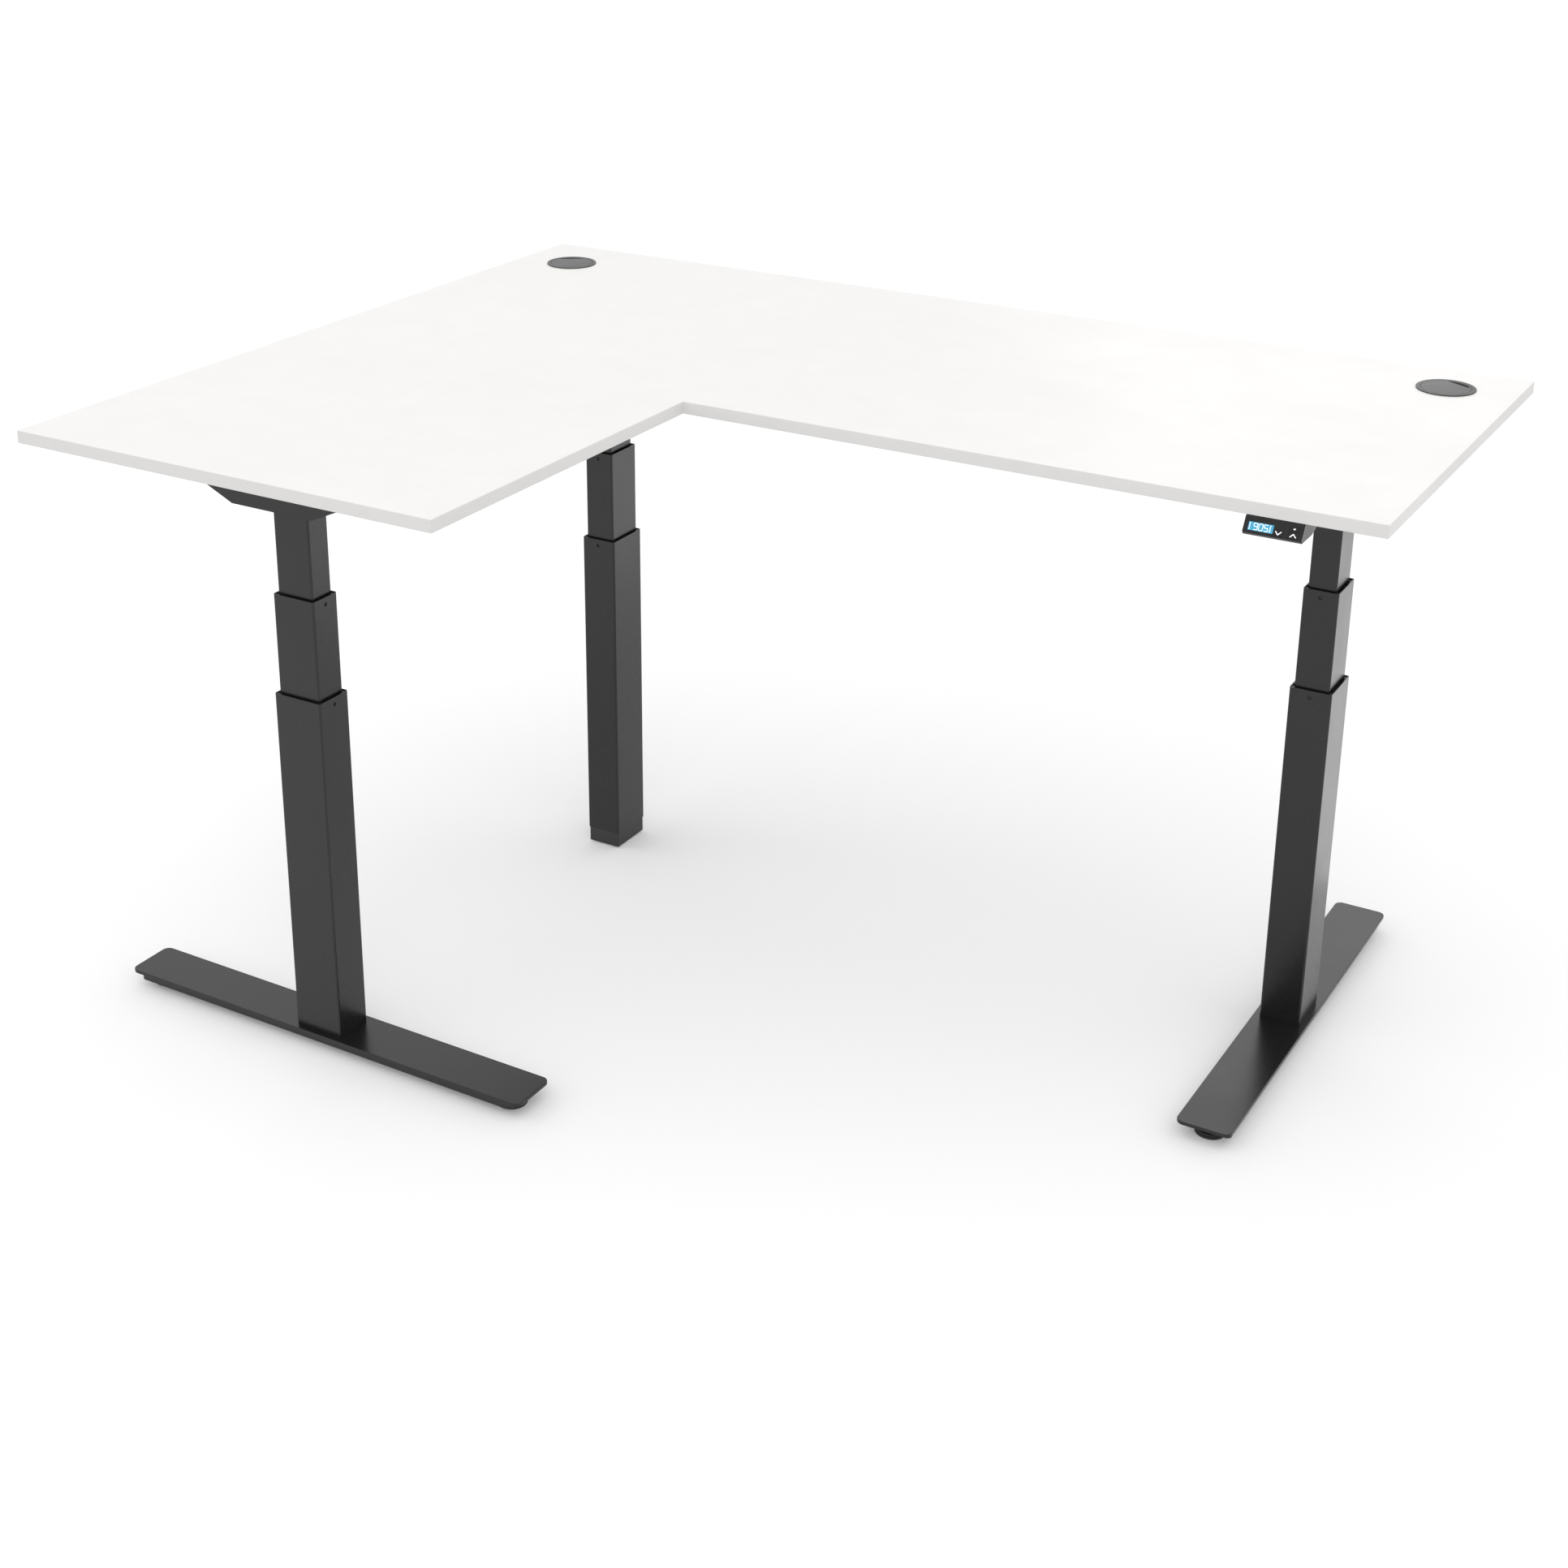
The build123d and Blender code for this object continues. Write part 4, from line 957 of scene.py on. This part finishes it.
# ===== control box =====
def control_box_details():
    """The box's sockets with their pins, its cooling ribs and its lamp."""
    low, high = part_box("control_box_base")
    middle = (low + high) / 2
    face = low.y
    lid_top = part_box("control_box_lid")[1].z
    z = lid_top - (lid_top - low.z) / 2
    width, height = SOCKET_OPENING
    shrouds = []
    pins = []
    for index in range(SOCKET_COUNT):
        x = middle.x + (index - (SOCKET_COUNT - 1) / 2) * SOCKET_PITCH
        shroud = block((x, face + SOCKET_POCKET - SHROUD_DEPTH / 2, z), (width, SHROUD_DEPTH, height))
        take(shroud)
        bpy.ops.object.mode_set(mode="EDIT")
        bpy.ops.mesh.select_all(action="DESELECT")
        shape = bmesh.from_edit_mesh(shroud.data)
        for side in shape.faces:
            side.select_set(side.normal.y < -0.9)
        bmesh.update_edit_mesh(shroud.data)
        bpy.ops.mesh.inset(thickness=SHROUD_WALL, depth=0)
        bpy.ops.mesh.extrude_region_move(TRANSFORM_OT_translate={"value": (0, SHROUD_WALL, 0)})
        bpy.ops.object.mode_set(mode="OBJECT")
        shrouds.append(rounded(shroud, 0.2 * MM))
        for column in range(SOCKET_PIN_COLUMNS):
            across = (column - (SOCKET_PIN_COLUMNS - 1) / 2) * SOCKET_PIN_PITCH[0]
            for row in (-1, 1):
                centre = (x + across, face + SOCKET_POCKET / 2, z + row * SOCKET_PIN_PITCH[1] / 2)
                pins.append(block(centre, SOCKET_PIN_SIZE, 0.12 * MM))
    hand_over(joined(shrouds, "shrouds"), "control_box_sockets", "top", "gloss_black")
    hand_over(joined(pins, "pins"), "control_box_socket_pins", "top", "bronze_nut")
    ribs = []
    for index in range(RIB_COUNT):
        x = middle.x + (index - (RIB_COUNT - 1) / 2) * RIB_PITCH
        ribs.append(block((x, middle.y, low.z - RIB_DROP), RIB_SIZE, 0.8 * MM, 3))
    hand_over(joined(ribs, "ribs"), "control_box_ribs", "top", "black_plastic")
    lamp_rings = [(1.9 * MM, -0.6 * MM), (1.9 * MM, 0.3 * MM), (1.5 * MM, 0.8 * MM), (0.7 * MM, 1.05 * MM)]
    lamp = turned((0, 0, 0), lamp_rings, 24)
    place = Vector((middle.x - SOCKET_PITCH * 3.6, face, middle.z))
    lamp.data.transform(Matrix.Translation(place) @ Matrix.Rotation(pi / 2, 4, "X"))
    hand_over(lamp, "control_box_lamp", "top", "blue_display")


# ===== folded and moulded parts with eased edges =====
def eased_parts():
    """Sheet steel, plastics and castings with their edges broken as a press or a mould leaves them."""
    for side in SIDES:
        for stage in ("outer", "middle", "inner"):
            soften(f"{side}_{stage}_tube", 0.25 * MM)
        soften(f"{side}_head_tray", 0.6 * MM)
    for side in ("left", "right"):
        soften(f"{side}_foot", 0.5 * MM)
        soften(f"{side}_beam_inner", 0.4 * MM)
        soften(f"{side}_beam_outer", 0.4 * MM)
    for side in ("corner", "right"):
        soften(f"{side}_grommet_sleeve", 0.3 * MM, 3)
        soften(f"{side}_grommet_cap", 0.3 * MM, 3)
    soften("corner_foot", 1.2 * MM, 3)
    soften("gearboxes", 1.5 * MM, 3)
    soften("control_box_base", 0.6 * MM)
    soften("control_box_lid", 0.5 * MM)


# ===== stage, lights and camera =====
def floor_and_light():
    """A plain white floor, even light from all round, and the lamps and panels."""
    world = bpy.data.worlds.new("studio")
    bpy.context.scene.world = world
    world.use_nodes = True
    sky = world.node_tree.nodes["Background"]
    sky.inputs["Color"].default_value = (1.0, 1.0, 1.0, 1)
    sky.inputs["Strength"].default_value = SKY_STRENGTH

    deselect()
    bpy.ops.mesh.primitive_plane_add(size=FLOOR_SIZE, location=(0, 0, -FLOOR_DROP))
    floor = bpy.context.object
    floor.name = "studio_floor"
    floor.data.materials.append(floor_paper())

    for name, place, aim, size, power, lights, reflects in LAMPS:
        lamp = bpy.data.lights.new(name, "AREA")
        lamp.shape = "DISK"
        lamp.size = size
        lamp.energy = power
        holder = bpy.data.objects.new(name, lamp)
        bpy.context.scene.collection.objects.link(holder)
        holder.location = place
        holder.rotation_euler = (Vector(aim) - Vector(place)).to_track_quat("-Z", "Y").to_euler()
        holder.visible_camera = False
        holder.visible_diffuse = lights
        holder.visible_glossy = reflects


def floor_paper():
    """White paper that glows a little, throws less light back up, and can be seen through from below."""
    material, tree, shader, place = start_material("studio_floor")
    shader.inputs["Base Color"].default_value = FLOOR_WHITE
    shader.inputs["Roughness"].default_value = 1.0
    shader.inputs["Specular IOR Level"].default_value = 0.0
    shader.inputs["Emission Color"].default_value = (1, 1, 1, 1)
    shader.inputs["Emission Strength"].default_value = FLOOR_GLOW
    bounce = tree.nodes.new("ShaderNodeBsdfDiffuse")
    bounce.inputs["Color"].default_value = FLOOR_BOUNCE
    see_through = tree.nodes.new("ShaderNodeBsdfTransparent")
    path = tree.nodes.new("ShaderNodeLightPath")
    side = tree.nodes.new("ShaderNodeNewGeometry")
    by_ray = tree.nodes.new("ShaderNodeMixShader")
    by_side = tree.nodes.new("ShaderNodeMixShader")
    tree.links.new(path.outputs["Is Diffuse Ray"], by_ray.inputs[0])
    tree.links.new(shader.outputs[0], by_ray.inputs[1])
    tree.links.new(bounce.outputs[0], by_ray.inputs[2])
    tree.links.new(side.outputs["Backfacing"], by_side.inputs[0])
    tree.links.new(by_ray.outputs[0], by_side.inputs[1])
    tree.links.new(see_through.outputs[0], by_side.inputs[2])
    tree.links.new(by_side.outputs[0], tree.nodes["Material Output"].inputs["Surface"])
    return material


def camera():
    """A slightly shifted lens looking down at the inner corner from the right."""
    data = bpy.data.cameras.new("camera")
    data.lens = LENS
    data.sensor_width = SENSOR_WIDTH
    data.shift_x, data.shift_y = SHIFT
    data.clip_end = 100.0
    holder = bpy.data.objects.new("camera", data)
    bpy.context.scene.collection.objects.link(holder)
    holder.location = EYE
    holder.rotation_euler = (Vector(AIM) - Vector(EYE)).to_track_quat("-Z", "Y").to_euler()
    bpy.context.scene.camera = holder
    bpy.context.scene.view_settings.view_transform = "Standard"
    bpy.context.scene.view_settings.look = "None"


# ===== making =====
deselect()
camera()
floor_and_light()
finish_packed_parts()
keypad_pieces()
for foot_side in ("left", "right"):
    for end in ("front", "rear"):
        levelling_foot(f"{foot_side}_{end}_leveller", f"{foot_side}_{end}_pad", PAD_HEIGHT)
levelling_foot("corner_leveller", "corner_pad", CORNER_PAD_HEIGHT)
for column_side in SIDES:
    rim_pins(column_side)
screws_and_bolts()
motors()
gearbox_covers()
control_box_details()
eased_parts()
